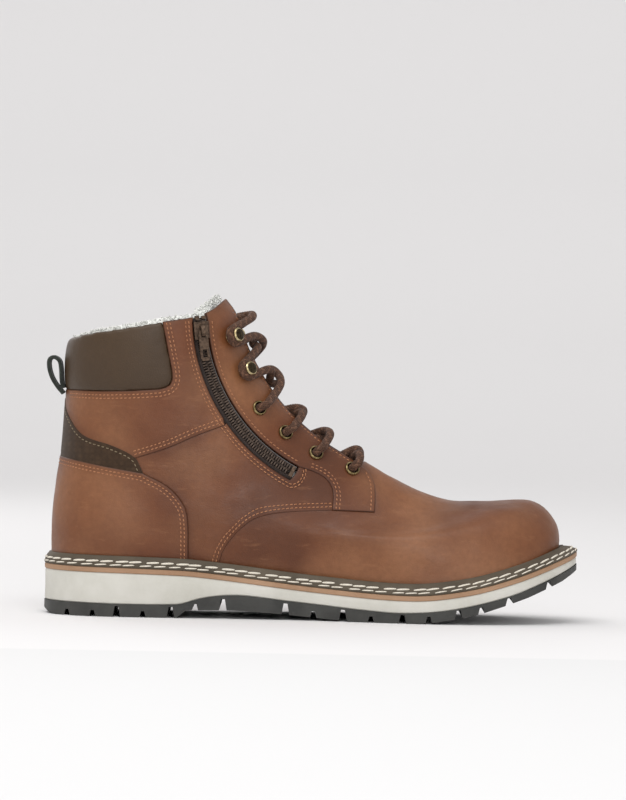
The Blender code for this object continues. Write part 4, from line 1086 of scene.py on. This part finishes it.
def fleece_sheet(name, loop, inner, outer, rim_outer, rim_start, paint, nodes, seed):
    """Lining pile: a lumpy sheet that grows thicker where it rolls over the top edge."""
    edge = dense(loop)
    points, faces = cut([flat(edge)], [], grid_inside(flat(edge), 2.1))
    spots = np.stack((points[:, 1] / STRETCH[1], points[:, 0] / STRETCH[0]), 1)
    on = read_net(NET, spots)
    from_edge = distance(on, read_net(NET, edge))
    curls = np.array([noise.noise(Vector(p) * 0.42 + Vector((seed, 0, 0)))
                      + 0.6 * noise.noise(Vector(p) * 0.9 + Vector((0, seed, 0))) for p in on])
    rim = np.clip((spots[:, 0] - rim_start) / 0.03, 0, 1)
    roundness = np.sqrt(np.clip(from_edge / 2.5, 0, 1))
    middle = (inner + outer) / 2
    out_side = outer + (rim_outer - outer) * rim
    upper = layers(spots, middle + (out_side - middle) * roundness + curls * 0.75 * roundness)
    lower = layers(spots, middle + (inner - middle) * roundness + curls * 0.9 * roundness)
    made = add_mesh(name, *thick(upper, lower, faces), sharp=180)
    return finish_piece(made, paint, "boot", nodes)


def tufts(name, lines, count, paint, seed):
    """Short curved tufts of pile standing along the top edge, as one piece."""
    drawn = random.Random(seed)
    points, faces = [], []
    for _ in range(count):
        line, depth_low, depth_high = lines[drawn.randrange(len(lines))]
        i = drawn.uniform(0, len(line) - 1.001)
        a, b = line[int(i)], line[int(i) + 1]
        share = i - int(i)
        h, angle = a[0] + (b[0] - a[0]) * share, a[1] + (b[1] - a[1]) * share
        _, by_height, normal = directions(h, angle)
        root = layer(h - drawn.uniform(0, 0.018), angle, drawn.uniform(depth_low, depth_high))
        up = by_height.normalized()
        sideways = up.cross(normal)
        lean = Vector((drawn.gauss(0, 0.55), drawn.gauss(0, 0.55)))
        reach = drawn.uniform(0.5, 1.3)
        start = len(points)
        width = drawn.uniform(0.4, 0.65)
        for k, share in enumerate((0.0, 0.5, 0.85)):
            bent = up * (share * reach) + (sideways * lean.x + normal * lean.y) * (share**1.6 * reach * 0.8)
            size = width * (1.0, 0.8, 0.35)[k]
            for t in range(4):
                turn = math.tau * t / 4 + k * 0.5
                points.append(root + bent + (sideways * math.cos(turn) + normal * math.sin(turn)) * size)
        for k in range(2):
            for t in range(4):
                p, q = start + k * 4 + t, start + k * 4 + (t + 1) % 4
                faces.append((p, q, q + 4, p + 4))
        faces.append(tuple(range(start + 8, start + 12)))
        faces.append(tuple(reversed(range(start, start + 4))))
    made = add_mesh(name, np.array([tuple(p) for p in points]), faces, 180, False)
    return finish_piece(made, paint, "boot")


def build_fleece(paints):
    fleece = paints["fleece"]
    low, top = 0.2, 1.011
    side = edge_angle(low, TONGUE_HALF_WIDTH + 2)
    throat = throat_line(TONGUE_HALF_WIDTH + 2, 0.42, 1.0)
    high = [(top, throat[-1][1])]
    half = join([(low, side)], throat, high)
    across = level_line(top, throat[-1][1], -throat[-1][1])
    loop = join(half, across[1:-1], round_heel(half), level_line(low, -side, side)[1:-1])
    fleece_sheet("fleece_lining", loop, -8.2, -4.4, -1.3, 0.97, fleece, ["quarter_lining"], 3)
    rows = [0.5 + 0.52 * i / 20 for i in range(21)]
    edge = [(h, edge_angle(min(h, 1.0), TONGUE_HALF_WIDTH - 1)) for h in rows]
    tongue = join(edge, level_line(rows[-1], edge[-1][1], 360 - edge[-1][1])[1:], other_side(edge)[1:],
                  level_line(rows[0], 360 - edge[0][1], edge[0][1])[1:])
    fleece_sheet("tongue_fleece", tongue, TONGUE_TOP - 8.5, TONGUE_TOP - 4.2, -1.6, 0.985, fleece,
                 ["tongue_lining"], 5)
    rim = level_line(top, throat[-1][1], -throat[-1][1])
    tongue_rim = level_line(rows[-1], edge[-1][1], 360 - edge[-1][1])
    tufts("rim_tufts", [(rim, -7.0, -1.8)], 1300, fleece, 11)
    tufts("tongue_tufts", [(tongue_rim, TONGUE_TOP - 7.5, -2.6)], 550, fleece, 13)


# ---------------------------------------------------------------- fittings


def turned(name, centre, axis, profile, segments=36):
    """A ring or stud turned round an axis; the profile is (radius, height) points."""
    first = axis.orthogonal().normalized()
    second = axis.cross(first)
    points, faces, rows = [], [], []
    for radius, height in profile:
        if radius == 0:
            rows.append([len(points)] * segments)
            points.append(centre + axis * height)
            continue
        rows.append(list(range(len(points), len(points) + segments)))
        for k in range(segments):
            t = math.tau * k / segments
            points.append(centre + axis * height + (first * math.cos(t) + second * math.sin(t)) * radius)
    pairs = list(zip(rows, rows[1:])) + ([(rows[-1], rows[0])] if profile[0][0] != 0 else [])
    for low, high in pairs:
        for k in range(segments):
            m = (k + 1) % segments
            faces.append(tuple(dict.fromkeys((low[k], low[m], high[m], high[k]))))
    return add_mesh(name, np.array([tuple(p) for p in points]), faces, 40)


def rounded(corners, radius, parts=4):
    """A profile with its corners turned into small arcs."""
    smooth = [corners[0]]
    for a, b, c in zip(corners, corners[1:], corners[2:]):
        a, b, c = Vector(a), Vector(b), Vector(c)
        near = min(radius, (a - b).length * 0.45, (c - b).length * 0.45)
        start, end = b + (a - b).normalized() * near, b + (c - b).normalized() * near
        for k in range(parts + 1):
            t = k / parts
            smooth.append(tuple(start * (1 - t) ** 2 + b * (2 * t * (1 - t)) + end * t**2))
    return smooth + [corners[-1]]


def build_eyelets(paints):
    rim = rounded([(3.35, -2.5), (EYELET_HOLE, -2.2), (EYELET_HOLE, 1.7), (3.4, 2.15), (3.9, 2.1),
                   (EYELET_RIM, 1.55), (EYELET_RIM, 0.75), (3.5, 0.7)], 0.35)
    stud = rounded([(0, -2.3), (1.5, -2.3), (1.5, 0.7), (4.3, 0.7), (4.45, 1.1), (4.1, 1.5), (3.6, 1.35),
                    (1.9, 1.3), (1.5, 2.2), (1.5, 6.4), (2.2, 6.9), (3.9, 6.9), (4.15, 7.3), (3.6, 8.0),
                    (2.0, 8.55), (0, 8.7)], 0.3)
    kinds = (("eyelet", EYELET_SPOTS, rim, "brass"), ("lace_hook", HOOK_SPOTS, stud, "blackened"))
    for side in ("medial", "lateral"):
        for kind, spots, profile, paint in kinds:
            for i, (h, angle) in enumerate(spots):
                angle = angle if side == "medial" else 360 - angle
                centre, axis = skin(h, angle), directions(h, angle)[2]
                made = turned(f"{kind}_fine_{side}_{i + 1}", centre, axis, profile)
                made.data.materials.append(paints[paint])
                if kind == "lace_hook":
                    brighten(made, paints["brass_worn_and_glint"], centre, axis)
                finish_piece(made, paints[paint], "boot", [f"{kind}_{side}_{i + 1}"])


def brighten(made, paint, centre, axis):
    """Gives the edges of a hook's cap and base a lighter, shinier brass: bare brass rubbed through the black,
    brightened as a painted highlight.
    """
    made.data.materials.append(paint)
    middle = place(centre)
    for face in made.data.polygons:
        way = face.center - middle
        height = way.dot(axis) / MM
        radius = (way - axis * way.dot(axis)).length / MM
        # Faces at the cap's outer edge and the base's rim, where highlights fall, get the bright brass.
        if (height > 6.7 and radius > 3.3) or (radius > 3.9 and height > 0.8):
            face.material_index = 1


def lace_half(side):
    """Points of half the lace, from the bottom bar up to its tucked end; side is 1 or -1."""

    def at(h, y, offset):
        angle = edge_angle(min(h, 1.0), abs(y)) if abs(y) > 0.01 else 180.0
        if y > 0:
            angle = 360 - angle
        return layer(h, angle, offset)

    def eyelet(index, here):
        """Up through an eyelet from the middle: the turn below, the hole, the turn above."""
        h, angle = EYELET_SPOTS[index]
        y = half_width(h, angle)
        angle = angle if here > 0 else 360 - angle
        centre, axis = skin(h, angle), directions(h, angle)[2]
        inwards = (at(h, y * here * 0.5, 0) - centre)
        inwards = (inwards - axis * inwards.dot(axis)).normalized()
        turn = LACE_TURN
        low = [centre + inwards * (turn + 2.2) + axis * LACE_UNDER,
               centre + inwards * turn + axis * LACE_UNDER,
               centre + inwards * turn * 0.3 + axis * (LACE_UNDER + turn * 0.3),
               centre + axis * -2.6]
        high = [centre + axis * 2.0, centre + inwards * turn * 0.3 + axis * (2.3 + turn * 0.7),
                centre + inwards * turn + axis * (2.6 + turn)]
        return low + [centre] + high

    def hook_turn(index, here):
        """Round the neck of a hook, from its lower side to its upper side."""
        h, angle = HOOK_SPOTS[index]
        angle = angle if here > 0 else 360 - angle
        centre, (_, by_height, axis) = skin(h, angle), directions(h, angle)
        up = (by_height - axis * by_height.dot(axis)).normalized()
        inwards = up.cross(axis) * here
        bend = 1.5 + LACE_RADIUS + 0.4
        points = []
        for k in range(7):
            t = math.radians(-100 + 200 * k / 6)
            out = -inwards * bend * math.cos(t) + up * bend * math.sin(t)
            points.append(centre + out + axis * 4.25)
        return points

    route = []
    here = side
    gap = THROAT_HALF_GAP
    for index in range(4):
        route += eyelet(index, here)
        h1 = EYELET_SPOTS[index][0]
        h2 = EYELET_SPOTS[index + 1][0] if index < 3 else HOOK_SPOTS[0][0]
        middle = -3.3 if side > 0 else 2.2
        route.append(at(h1 + (h2 - h1) * 0.25, -gap * here * 0.75, 4.3 if side > 0 else 5.2))
        if index < 3:
            route.append(at(h1 + (h2 - h1) * 0.5, 0.0, middle))
            route.append(at(h1 + (h2 - h1) * 0.78, gap * here * 0.85, LACE_UNDER + 0.1))
            here = -here
        else:
            route.append(at(h1 + (h2 - h1) * 0.45, 0.0, middle + (3.2 if side > 0 else 4.0)))
            here = -here
            route.append(at(h1 + (h2 - h1) * 0.7, -gap * here * 0.8, 5.5))
    for index in range(2):
        route += hook_turn(index, here)
        h1 = HOOK_SPOTS[index][0]
        h2 = HOOK_SPOTS[1][0] if index == 0 else 0.965
        low = 2.2 if side > 0 else 8.0
        route.append(at(h1 + (h2 - h1) * 0.35, -gap * here * 0.6, 4.4 if side > 0 else 7.0))
        route.append(at(h1 + (h2 - h1) * 0.5, 0.0, low if index == 0 else low - 1.0))
        if index == 0:
            here = -here
            route.append(at(h1 + (h2 - h1) * 0.7, -gap * here * 0.8, 5.5))
    here = -here
    route.append(at(0.955, -gap * here * 0.9, LACE_UNDER + 1.5))
    route.append(at(0.945, -(gap + 4) * here, LACE_UNDER))
    route.append(at(0.91, -(gap + 6.5) * here, LACE_UNDER))
    return route


def track_frames(route, spacing):
    """Points along a route at an even spacing, with two cross directions that don't twist."""
    fine = [Vector(p) for p in Curve(route).spread(0.4)]
    reach = np.concatenate(([0], np.cumsum([(b - a).length for a, b in zip(fine, fine[1:])])))
    count = int(reach[-1] / spacing)
    fine = np.array([tuple(p) for p in fine])
    even = np.linspace(0, reach[-1], count + 1)
    points = np.stack([np.interp(even, reach, fine[:, k]) for k in range(3)], 1)
    runs = np.gradient(points, axis=0)
    runs /= np.linalg.norm(runs, axis=1)[:, None]
    first = np.zeros_like(points)
    side = Vector(runs[0]).orthogonal().normalized()
    for i, run in enumerate(runs):
        run = Vector(run)
        side = (side - run * side.dot(run)).normalized()
        first[i] = side
    return points, first, np.cross(runs, first), runs


def strand_tube(centres, ups, runs, width, height, sides=6):
    """Points and faces of a flattened tube along centres."""
    across = np.cross(runs, ups)
    turns = np.arange(sides) * math.tau / sides
    ring = (across[:, None, :] * np.cos(turns)[None, :, None] * width
            + ups[:, None, :] * np.sin(turns)[None, :, None] * height)
    points = (centres[:, None, :] + ring).reshape(-1, 3)
    faces = []
    for i in range(len(centres) - 1):
        for k in range(sides):
            a, b = i * sides + k, i * sides + (k + 1) % sides
            faces.append((a, b, b + sides, a + sides))
    faces.append(tuple(reversed(range(sides))))
    faces.append(tuple(range(len(points) - sides, len(points))))
    return points, faces


def build_lace(paints):
    """A round braid: strands wound both ways round a core, each passing over and under the others."""
    bar = [layer(EYELET_SPOTS[0][0], 180.0, LACE_UNDER)]
    route = list(reversed(lace_half(1))) + bar + lace_half(-1)
    points, first, second, _ = track_frames(route, 0.62)
    way = np.arange(len(points)) * 0.62
    strands, pitch, radius = 8, 13.0, LACE_RADIUS - 0.45
    all_points, all_faces, paint_of = [], [], []
    for hand in (1, -1):
        for k in range(strands):
            turn = hand * way * math.tau / pitch + math.tau * k / strands
            phase = 0 if hand > 0 else math.pi
            weave = np.cos(way * math.tau / pitch * strands * 0.5 + phase + math.pi * k)
            out = first * np.cos(turn)[:, None] + second * np.sin(turn)[:, None]
            centres = points + out * (radius + 0.13 * weave)[:, None]
            runs = np.gradient(centres, axis=0)
            runs /= np.linalg.norm(runs, axis=1)[:, None]
            tube, faces = strand_tube(centres, out, runs, 0.72, 0.42)
            start = sum(len(p) for p in all_points)
            all_points.append(tube)
            all_faces += [tuple(i + start for i in f) for f in faces]
            paint_of += [1 if k in (0, 4) else 0] * len(faces)
    core, faces = strand_tube(points, first, np.gradient(points, axis=0) / 0.62, 1.9, 1.9, 8)
    start = sum(len(p) for p in all_points)
    all_points.append(core)
    all_faces += [tuple(i + start for i in f) for f in faces]
    paint_of += [0] * len(faces)
    made = add_mesh("lace_braid", np.concatenate(all_points), all_faces, 180, False)
    made.data.materials.append(paints["lace"])
    made.data.materials.append(paints["lace_fleck"])
    made.data.polygons.foreach_set("material_index", paint_of)
    finish_piece(made, paints["lace"], "boot", ["lace"])


# ---------------------------------------------------------------- the zip


def block(frame_at, corners, low, high, rounding=0.0):
    """Points and faces of a small block: its outline (across, along) between two heights."""
    middle, sideways, along, up = frame_at
    ring = [(a, b) for a, b in corners]
    points = []
    for height, inset in ((low, 0.0), (high - rounding, 0.0), (high, rounding)):
        for a, b in ring:
            across = a - math.copysign(inset, a)
            forward = b - math.copysign(inset, b)
            points.append(middle + sideways * across + along * forward + up * height)
    count = len(ring)
    faces = [tuple(reversed(range(count))), tuple(range(2 * count, 3 * count))]
    for level in range(2):
        for k in range(count):
            a, b = level * count + k, level * count + (k + 1) % count
            faces.append((a, b, b + count, a + count))
    return points, faces


def gather(blocks):
    points, faces = [], []
    for block_points, block_faces in blocks:
        start = len(points)
        points += block_points
        faces += [tuple(i + start for i in f) for f in block_faces]
    return np.array([tuple(p) for p in points]), faces


def build_zip(paints):
    pitch = 1.55
    count = int((ZIP_LENGTH - 4.5) / pitch)
    for number, (half, front) in enumerate((("rear", -1), ("front", 1))):
        blocks = []
        for k in range(count):
            way = 2.0 + pitch * (k + 0.5 * number)
            if way > ZIP_LENGTH - 3.0:
                continue
            frame_at = zip_frame(way)
            blocks.append(block(frame_at, [(2.9 * front, -0.42), (2.9 * front, 0.42), (0.75 * front, 0.5),
                                           (0.75 * front, -0.5)], -1.0, 1.15, 0.2))
            blocks.append(block(frame_at, [(0.9 * front, -0.33), (0.9 * front, 0.33), (-0.55 * front, 0.33),
                                           (-0.55 * front, -0.33)], -0.7, 0.75, 0.2))
        made = add_mesh(f"zip_teeth_{half}", *gather(blocks), 30)
        finish_piece(made, paints["teeth"], "boot", [f"zip_chain_{half}"])
        rows = [1.0 + (ZIP_LENGTH - 0.9) * i / 60 for i in range(61)]
        points, faces = [], []
        for way in rows:
            inner = [zip_point(way, 0.25 * front, -1.5), zip_point(way, 2.4 * front, -1.3),
                     zip_point(way, 2.6 * front, 0.15), zip_point(way, 3.3 * front, 0.3),
                     zip_point(way, 3.9 * front, -0.5)]
            outer = [layer(*zip_place(way, reach * front), -2.3) for reach in (4.8, 7.8, 11.0)]
            sheet = inner + outer
            axis = zip_frame(way)[3]
            points += sheet + [p - axis * 0.7 for p in reversed(sheet)]
        width = 16
        for i in range(len(rows) - 1):
            for k in range(width):
                a, b = i * width + k, i * width + (k + 1) % width
                faces.append((a, b, b + width, a + width))
        faces.append(tuple(range(width)))
        faces.append(tuple(reversed(range(len(points) - width, len(points)))))
        made = add_mesh(f"zip_cloth_{half}", np.array([tuple(p) for p in points]), faces, 60)
        finish_piece(made, paints["tape"], "boot", [f"zip_tape_{half}"])


def keep_cad(paints):
    """Materials of the CAD pieces that stay as they are."""
    kept = {"zip": ["zip_slider", "zip_pull", "zip_bottom_stop", "zip_top_stop_rear", "zip_top_stop_front"],
            "tape": ["zip_guard"], "board": ["insole_board"], "steel": ["shank"],
            "stiffener": ["toe_puff", "counter_stiffener"], "fleece": ["footbed", "vamp_lining"],
            "aglet": ["aglet_medial", "aglet_lateral"]}
    for paint, nodes in kept.items():
        for name in nodes:
            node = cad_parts[name]
            for material_slot in node.material_slots:
                material_slot.link = "OBJECT"
                material_slot.material = paints[paint]


# ---------------------------------------------------------------- the sole


def height_on(line, x):
    return float(np.interp(x, [p[0] for p in line], [p[1] for p in line]))


def midsole_bottom(x):
    return smooth_value([p[0] for p in MIDSOLE_BOTTOM], [p[1] for p in MIDSOLE_BOTTOM],
                        min(max(x, 0.0), LENGTH))


def band(name, ring, levels, paint, nodes, sharp=35):
    """A plate of the sole: its side wall at several levels, each (height at x, inwards), with lids."""
    points = []
    for height, inwards in levels:
        for foot, outwards, _ in ring:
            p = foot - outwards * inwards
            points.append((p.x, p.y, height(p.x)))
    count = len(ring)
    faces = []
    for level in range(len(levels) - 1):
        for k in range(count):
            a, b = level * count + k, level * count + (k + 1) % count
            faces.append((a, b, b + count, a + count))
    half = count // 2
    for start, turn in ((0, 1), (len(points) - count, -1)):
        for k in range(half):
            a, b = start + k, start + (k + 1)
            c, d = start + (count - k - 1) % count, start + (count - k) % count
            face = list(dict.fromkeys((a, b, c, d)))
            if len(face) > 2:
                faces.append(tuple(face[::turn]))
    made = add_mesh(name, np.array(points), faces, sharp)
    return finish_piece(made, paint, "boot", nodes)


# Middles of the cross grooves, half widths at the mouth and at the root, and depth.
GROOVE_KINDS = ((GROOVES, 2.2, 1.1, 6.4), (SMALL_GROOVES, 1.8, 0.9, 3.6))


def tread_lift(x, y):
    """How far the tread is cut away at a place under the sole."""
    room = midsole_bottom(x) - height_on(TREAD, x)
    lift = 0.0
    for grooves, mouth, root, depth in GROOVE_KINDS:
        for middle in grooves:
            slope = (mouth - abs(x - middle)) / (mouth - root)
            lift = max(lift, min(max(slope, 0), 1) * min(depth, 0.85 * room))
    channel = (2.2 + 0.5 - abs(abs(y) - 15)) / 0.7
    if 12 < x < 292:
        lift = max(lift, min(max(channel, 0), 1) * min(3.0, 0.5 * room))
    return lift


def build_outsole(paints):
    """The tread: lugs parted by cross grooves and two long channels."""
    ring = sole_ring(0.3, 260)
    outline = np.array([(p.x, p.y) for p, _, _ in ring])
    lines = []
    for grooves, mouth, root, _ in GROOVE_KINDS:
        for middle in grooves:
            for side in (-1, 1):
                lines += [middle + side * mouth, middle + side * root]
    lines += [x for x, _ in TREAD[1:-1]]
    vertices = [Vector(p) for p in outline]
    edges = [(i, (i + 1) % len(outline)) for i in range(len(outline))]
    cuts = [((x, -80), (x, 80)) for x in sorted(set(lines))]
    for y in (-15, 15):
        for side in (-1, 1):
            cuts += [((5, y + side * reach), (300, y + side * reach)) for reach in (2.0, 2.7)]
    for a, b in cuts:
        edges.append((len(vertices), len(vertices) + 1))
        vertices += [Vector(a), Vector(b)]
    found, _, faces, *_ = delaunay_2d_cdt(vertices, edges, [], 0, 1e-4)
    found = np.array([tuple(p) for p in found])
    faces = np.array([tuple(f) for f in faces])
    faces = faces[inside(found[faces].mean(1), outline)]
    used, faces = np.unique(faces, return_inverse=True)
    found, faces = found[used], faces.reshape(-1, 3)
    lower = np.array([(x, y, height_on(TREAD, x) + tread_lift(x, y)) for x, y in found])
    upper = np.array([(x, y, midsole_bottom(x) - 0.2) for x, y in found])
    made = add_mesh("outsole_tread", *thick(upper, lower, faces), 25)
    soften = made.modifiers.new("soften", "BEVEL")
    soften.width = 0.35 * MM
    soften.segments = 2
    soften.limit_method = "ANGLE"
    soften.angle_limit = math.radians(40)
    finish_piece(made, paints["outsole"], "boot", ["outsole"])


def build_sole(paints):
    ring = sole_ring(0.0, 320)
    base = MID_LAYER_THICKNESS
    band("midsole_foam", ring,
         [(lambda x: midsole_bottom(x) - 0.1, 1.4), (lambda x: midsole_bottom(x) + 0.5, 0.7),
          (lambda x: midsole_bottom(x) + 1.2, 0.55),
          (lambda x: (midsole_bottom(x) + mid_top(x) - base) / 2, 0.75),
          (lambda x: mid_top(x) - base - 1.0, 0.6), (lambda x: mid_top(x) - base - 0.1, 1.0)],
         paints["midsole"], ["midsole"])
    band("mid_layer_fine", ring,
         [(lambda x: mid_top(x) - base, 0.7), (lambda x: mid_top(x) - base + 0.4, 0.3),
          (lambda x: mid_top(x) - 0.4, 0.25), (lambda x: mid_top(x), 0.6)],
         paints["tan"], ["mid_layer"])
    build_outsole(paints)


def welt_section(angle):
    """Foot of the upper, outward direction, and (out, rise) points of the welt's section."""
    v = (1 - math.cos(math.radians(angle))) / 2
    reach = WELT_REACH + TOE_EXTRA_REACH * v**5
    by_angle = directions(0.0, angle)[0]
    outwards = Vector((by_angle.y, -by_angle.x, 0)).normalized()
    foot = skin(0.0, angle)
    wall = layer(0.055, angle, 1.4)
    lean = max((wall - foot).dot(outwards), 1.2)
    face_top = (lean + 1.3, WELT_RISE - 0.7)
    face_low = (reach, 0.9)
    section = [(0.0, 0.0), (reach - 0.5, 0.0), (reach - 0.1, 0.3), face_low]
    for k in range(1, 9):
        t = k / 9
        bow = 0.45 * math.sin(math.pi * t)
        section.append((face_low[0] + (face_top[0] - face_low[0]) * t + bow * 0.5,
                        face_low[1] + (face_top[1] - face_low[1]) * t + bow))
    section += [face_top, (lean + 0.9, WELT_RISE - 0.1), (lean + 0.3, WELT_RISE),
                (lean - 1.0, WELT_RISE - 0.6)]
    return foot, outwards, section


def build_welt(paints, stations=360):
    points, faces = [], []
    lower_row, upper_row = 0.1, 0.42
    rows = {lower_row: [], upper_row: []}
    for i in range(stations):
        foot, outwards, section = welt_section(360 * i / stations)
        for out, rise in section:
            p = foot + outwards * out
            points.append((p.x, p.y, mid_top(p.x) + 0.1 + rise))
        for share, line in rows.items():
            low, high = section[3], section[12]
            out = low[0] + (high[0] - low[0]) * share + 0.22 * math.sin(math.pi * share)
            rise = low[1] + (high[1] - low[1]) * share + 0.45 * math.sin(math.pi * share)
            p = foot + outwards * out
            normal = (outwards * (high[1] - low[1]) + Vector((0, 0, 1)) * (low[0] - high[0])).normalized()
            line.append((Vector((p.x, p.y, mid_top(p.x) + 0.1 + rise)), normal))
    count = len(section)
    for i in range(stations):
        for k in range(count):
            a, b = i * count + k, i * count + (k + 1) % count
            c, d = (a + count) % len(points), (b + count) % len(points)
            faces.append((a, b, d, c))
    made = add_mesh("welt_strip", np.array(points), faces, 50)
    finish_piece(made, paints["welt"], "boot", ["welt"])
    for name, share, radius, length in (("lower", lower_row, 0.36, 7.0), ("upper", upper_row, 0.52, 7.8)):
        line = rows[share] + rows[share][:1]
        track = np.array([tuple(p) for p, _ in line])
        reach = np.concatenate(([0], np.cumsum(np.linalg.norm(np.diff(track, axis=0), axis=1))))
        number = round(reach[-1] / 8.6)
        spots = []
        for k in range(number):
            at = reach[-1] * (k + (0.5 if name == "upper" else 0.1)) / number
            i = min(int(np.searchsorted(reach, at)), len(line) - 2)
            along = (line[i + 1][0] - line[i - 1][0]).normalized()
            spots.append((line[i][0], along, line[i][1]))
        capsules(f"welt_stitching_{name}", spots, length, radius, paints["cream_thread"], 0.12, 0.07)


# ---------------------------------------------------------------- the heel loop


def build_heel_loop(paints):
    """Webbing folded to a loop: a ribbed band with thick selvedges."""
    half_height = 8.0
    middle = Curve([(9.4, 127.4), (5.8, 131.6), (2.6, 136.8), (0.9, 142.5), (1.1, 147.0), (3.5, 148.4),
                    (6.7, 146.4), (7.8, 141.8), (8.1, 137), (8.5, 133.4), (9.3, 130.4)])
    rows = middle.spread(0.45)
    points, faces = [], []
    across = [-half_height + 2 * half_height * k / 24 for k in range(25)]
    for i, p in enumerate(rows):
        ahead = rows[min(i + 1, len(rows) - 1)] - rows[max(i - 1, 0)]
        out = Vector((-ahead.y, ahead.x)).normalized()
        for side in (1, -1):
            for k, y in enumerate(across if side > 0 else list(reversed(across))):
                selvedge = 0.12 if abs(y) > half_height - 1.0 else 0.0
                rib = 0.1 * math.cos(math.pi * i) * math.cos(math.pi * k)
                q = p + out * side * (0.85 + selvedge + rib)
                points.append((q.x, y, q.y))
    count = 2 * len(across)
    for i in range(len(rows) - 1):
        for k in range(count):
            a, b = i * count + k, i * count + (k + 1) % count
            faces.append((a, b, b + count, a + count))
    faces.append(tuple(range(count)))
    faces.append(tuple(reversed(range(len(points) - count, len(points)))))
    made = add_mesh("heel_loop_webbing", np.array(points), faces, 180)
    finish_piece(made, paints["webbing"], "loop", ["heel_loop"])


# ---------------------------------------------------------------- the studio


def build_stage():
    """A pale floor that sweeps up well behind the boot; its paper is a shade darker close to the camera."""
    profile = [(-4.5, 0.0), (-0.7, 0.0), (2.8, 0.0), (3.2, 0.03), (3.6, 0.16), (3.9, 0.4), (4.1, 0.8),
               (4.2, 4.6)]
    points = [(x, y, z) for y, z in profile for x in (-6.0, 6.0)]
    faces = [(2 * i, 2 * i + 1, 2 * i + 3, 2 * i + 2) for i in range(len(profile) - 1)]
    mesh = bpy.data.meshes.new("studio_sweep")
    mesh.from_pydata(points, [], faces)
    mesh.shade_smooth()
    sweep = bpy.data.objects.new("studio_sweep", mesh)
    bpy.context.scene.collection.objects.link(sweep)
    band_start, band_end = -0.315, -0.305
    paint = Paint("studio_paper", 0.9, Specular_IOR_Level=0.1)
    split = paint.node("ShaderNodeSeparateXYZ")
    paint.feed(split, "Vector", paint.where)
    nearer = paint.ramp(split.outputs["Y"], linear(229, 229, 229), linear(235, 234, 234),
                        band_start, band_end)
    paint.set("Base Color", nearer)
    mesh.materials.append(paint.made)


def add_light(name, at, target, energy, size):
    """A rectangular softbox; its size is in metres and its energy in watts."""
    data = bpy.data.lights.new(name, "AREA")
    data.energy = energy
    data.shape = "RECTANGLE"
    data.size, data.size_y = size
    light = bpy.data.objects.new(name, data)
    light.location = at
    light.rotation_euler = (Vector(target) - Vector(at)).to_track_quat("-Z", "Y").to_euler()
    bpy.context.scene.collection.objects.link(light)


def build_studio():
    build_stage()
    scene = bpy.context.scene
    scene.world = bpy.data.worlds.new("studio_air")
    scene.world.use_nodes = True
    air = scene.world.node_tree.nodes["Background"]
    air.inputs["Color"].default_value = (1.0, 0.99, 0.99, 1)
    air.inputs["Strength"].default_value = 0.74
    scene.view_settings.view_transform = "Standard"
    middle = (0, 0, 0.08)
    add_light("overhead_softbox", (-0.25, -0.75, 1.4), middle, 10, (1.3, 0.9))
    add_light("front_fill", (0.15, -2.2, 0.55), middle, 8, (0.7, 0.6))
    add_light("backdrop_light", (0, 2.3, 3.0), (0, 4.1, 1.2), 17, (4.0, 1.0))
    add_light("rear_fill", (-0.9, 1.2, 1.0), middle, 5, (1.0, 1.0))


def build_camera():
    """A long lens at the inner side, a little above the floor, rolled slightly to the toe."""
    reach, elevation, roll = 2.6, math.radians(0.8), math.radians(1.1)
    view_height = 0.466
    aim = Vector((-0.0005, 0.0, 0.1262))
    data = bpy.data.cameras.new("side_camera")
    data.sensor_fit = "VERTICAL"
    data.sensor_height = 24
    data.lens = 24 * reach / view_height
    camera = bpy.data.objects.new("side_camera", data)
    camera.location = aim + Vector((0, -math.cos(elevation), math.sin(elevation))) * reach
    look = (aim - camera.location).to_track_quat("-Z", "Y").to_matrix() @ Matrix.Rotation(roll, 3, "Z")
    camera.rotation_euler = look.to_euler()
    bpy.context.scene.collection.objects.link(camera)
    bpy.context.scene.camera = camera


def main():
    build_camera()
    build_studio()
    paints = build_paints()
    keep_cad(paints)
    build_sole(paints)
    build_welt(paints)
    build_panels(paints)
    build_tongue(paints)
    build_collar(paints)
    build_fleece(paints)
    build_stitching(paints)
    build_eyelets(paints)
    build_lace(paints)
    build_zip(paints)
    build_heel_loop(paints)


main()
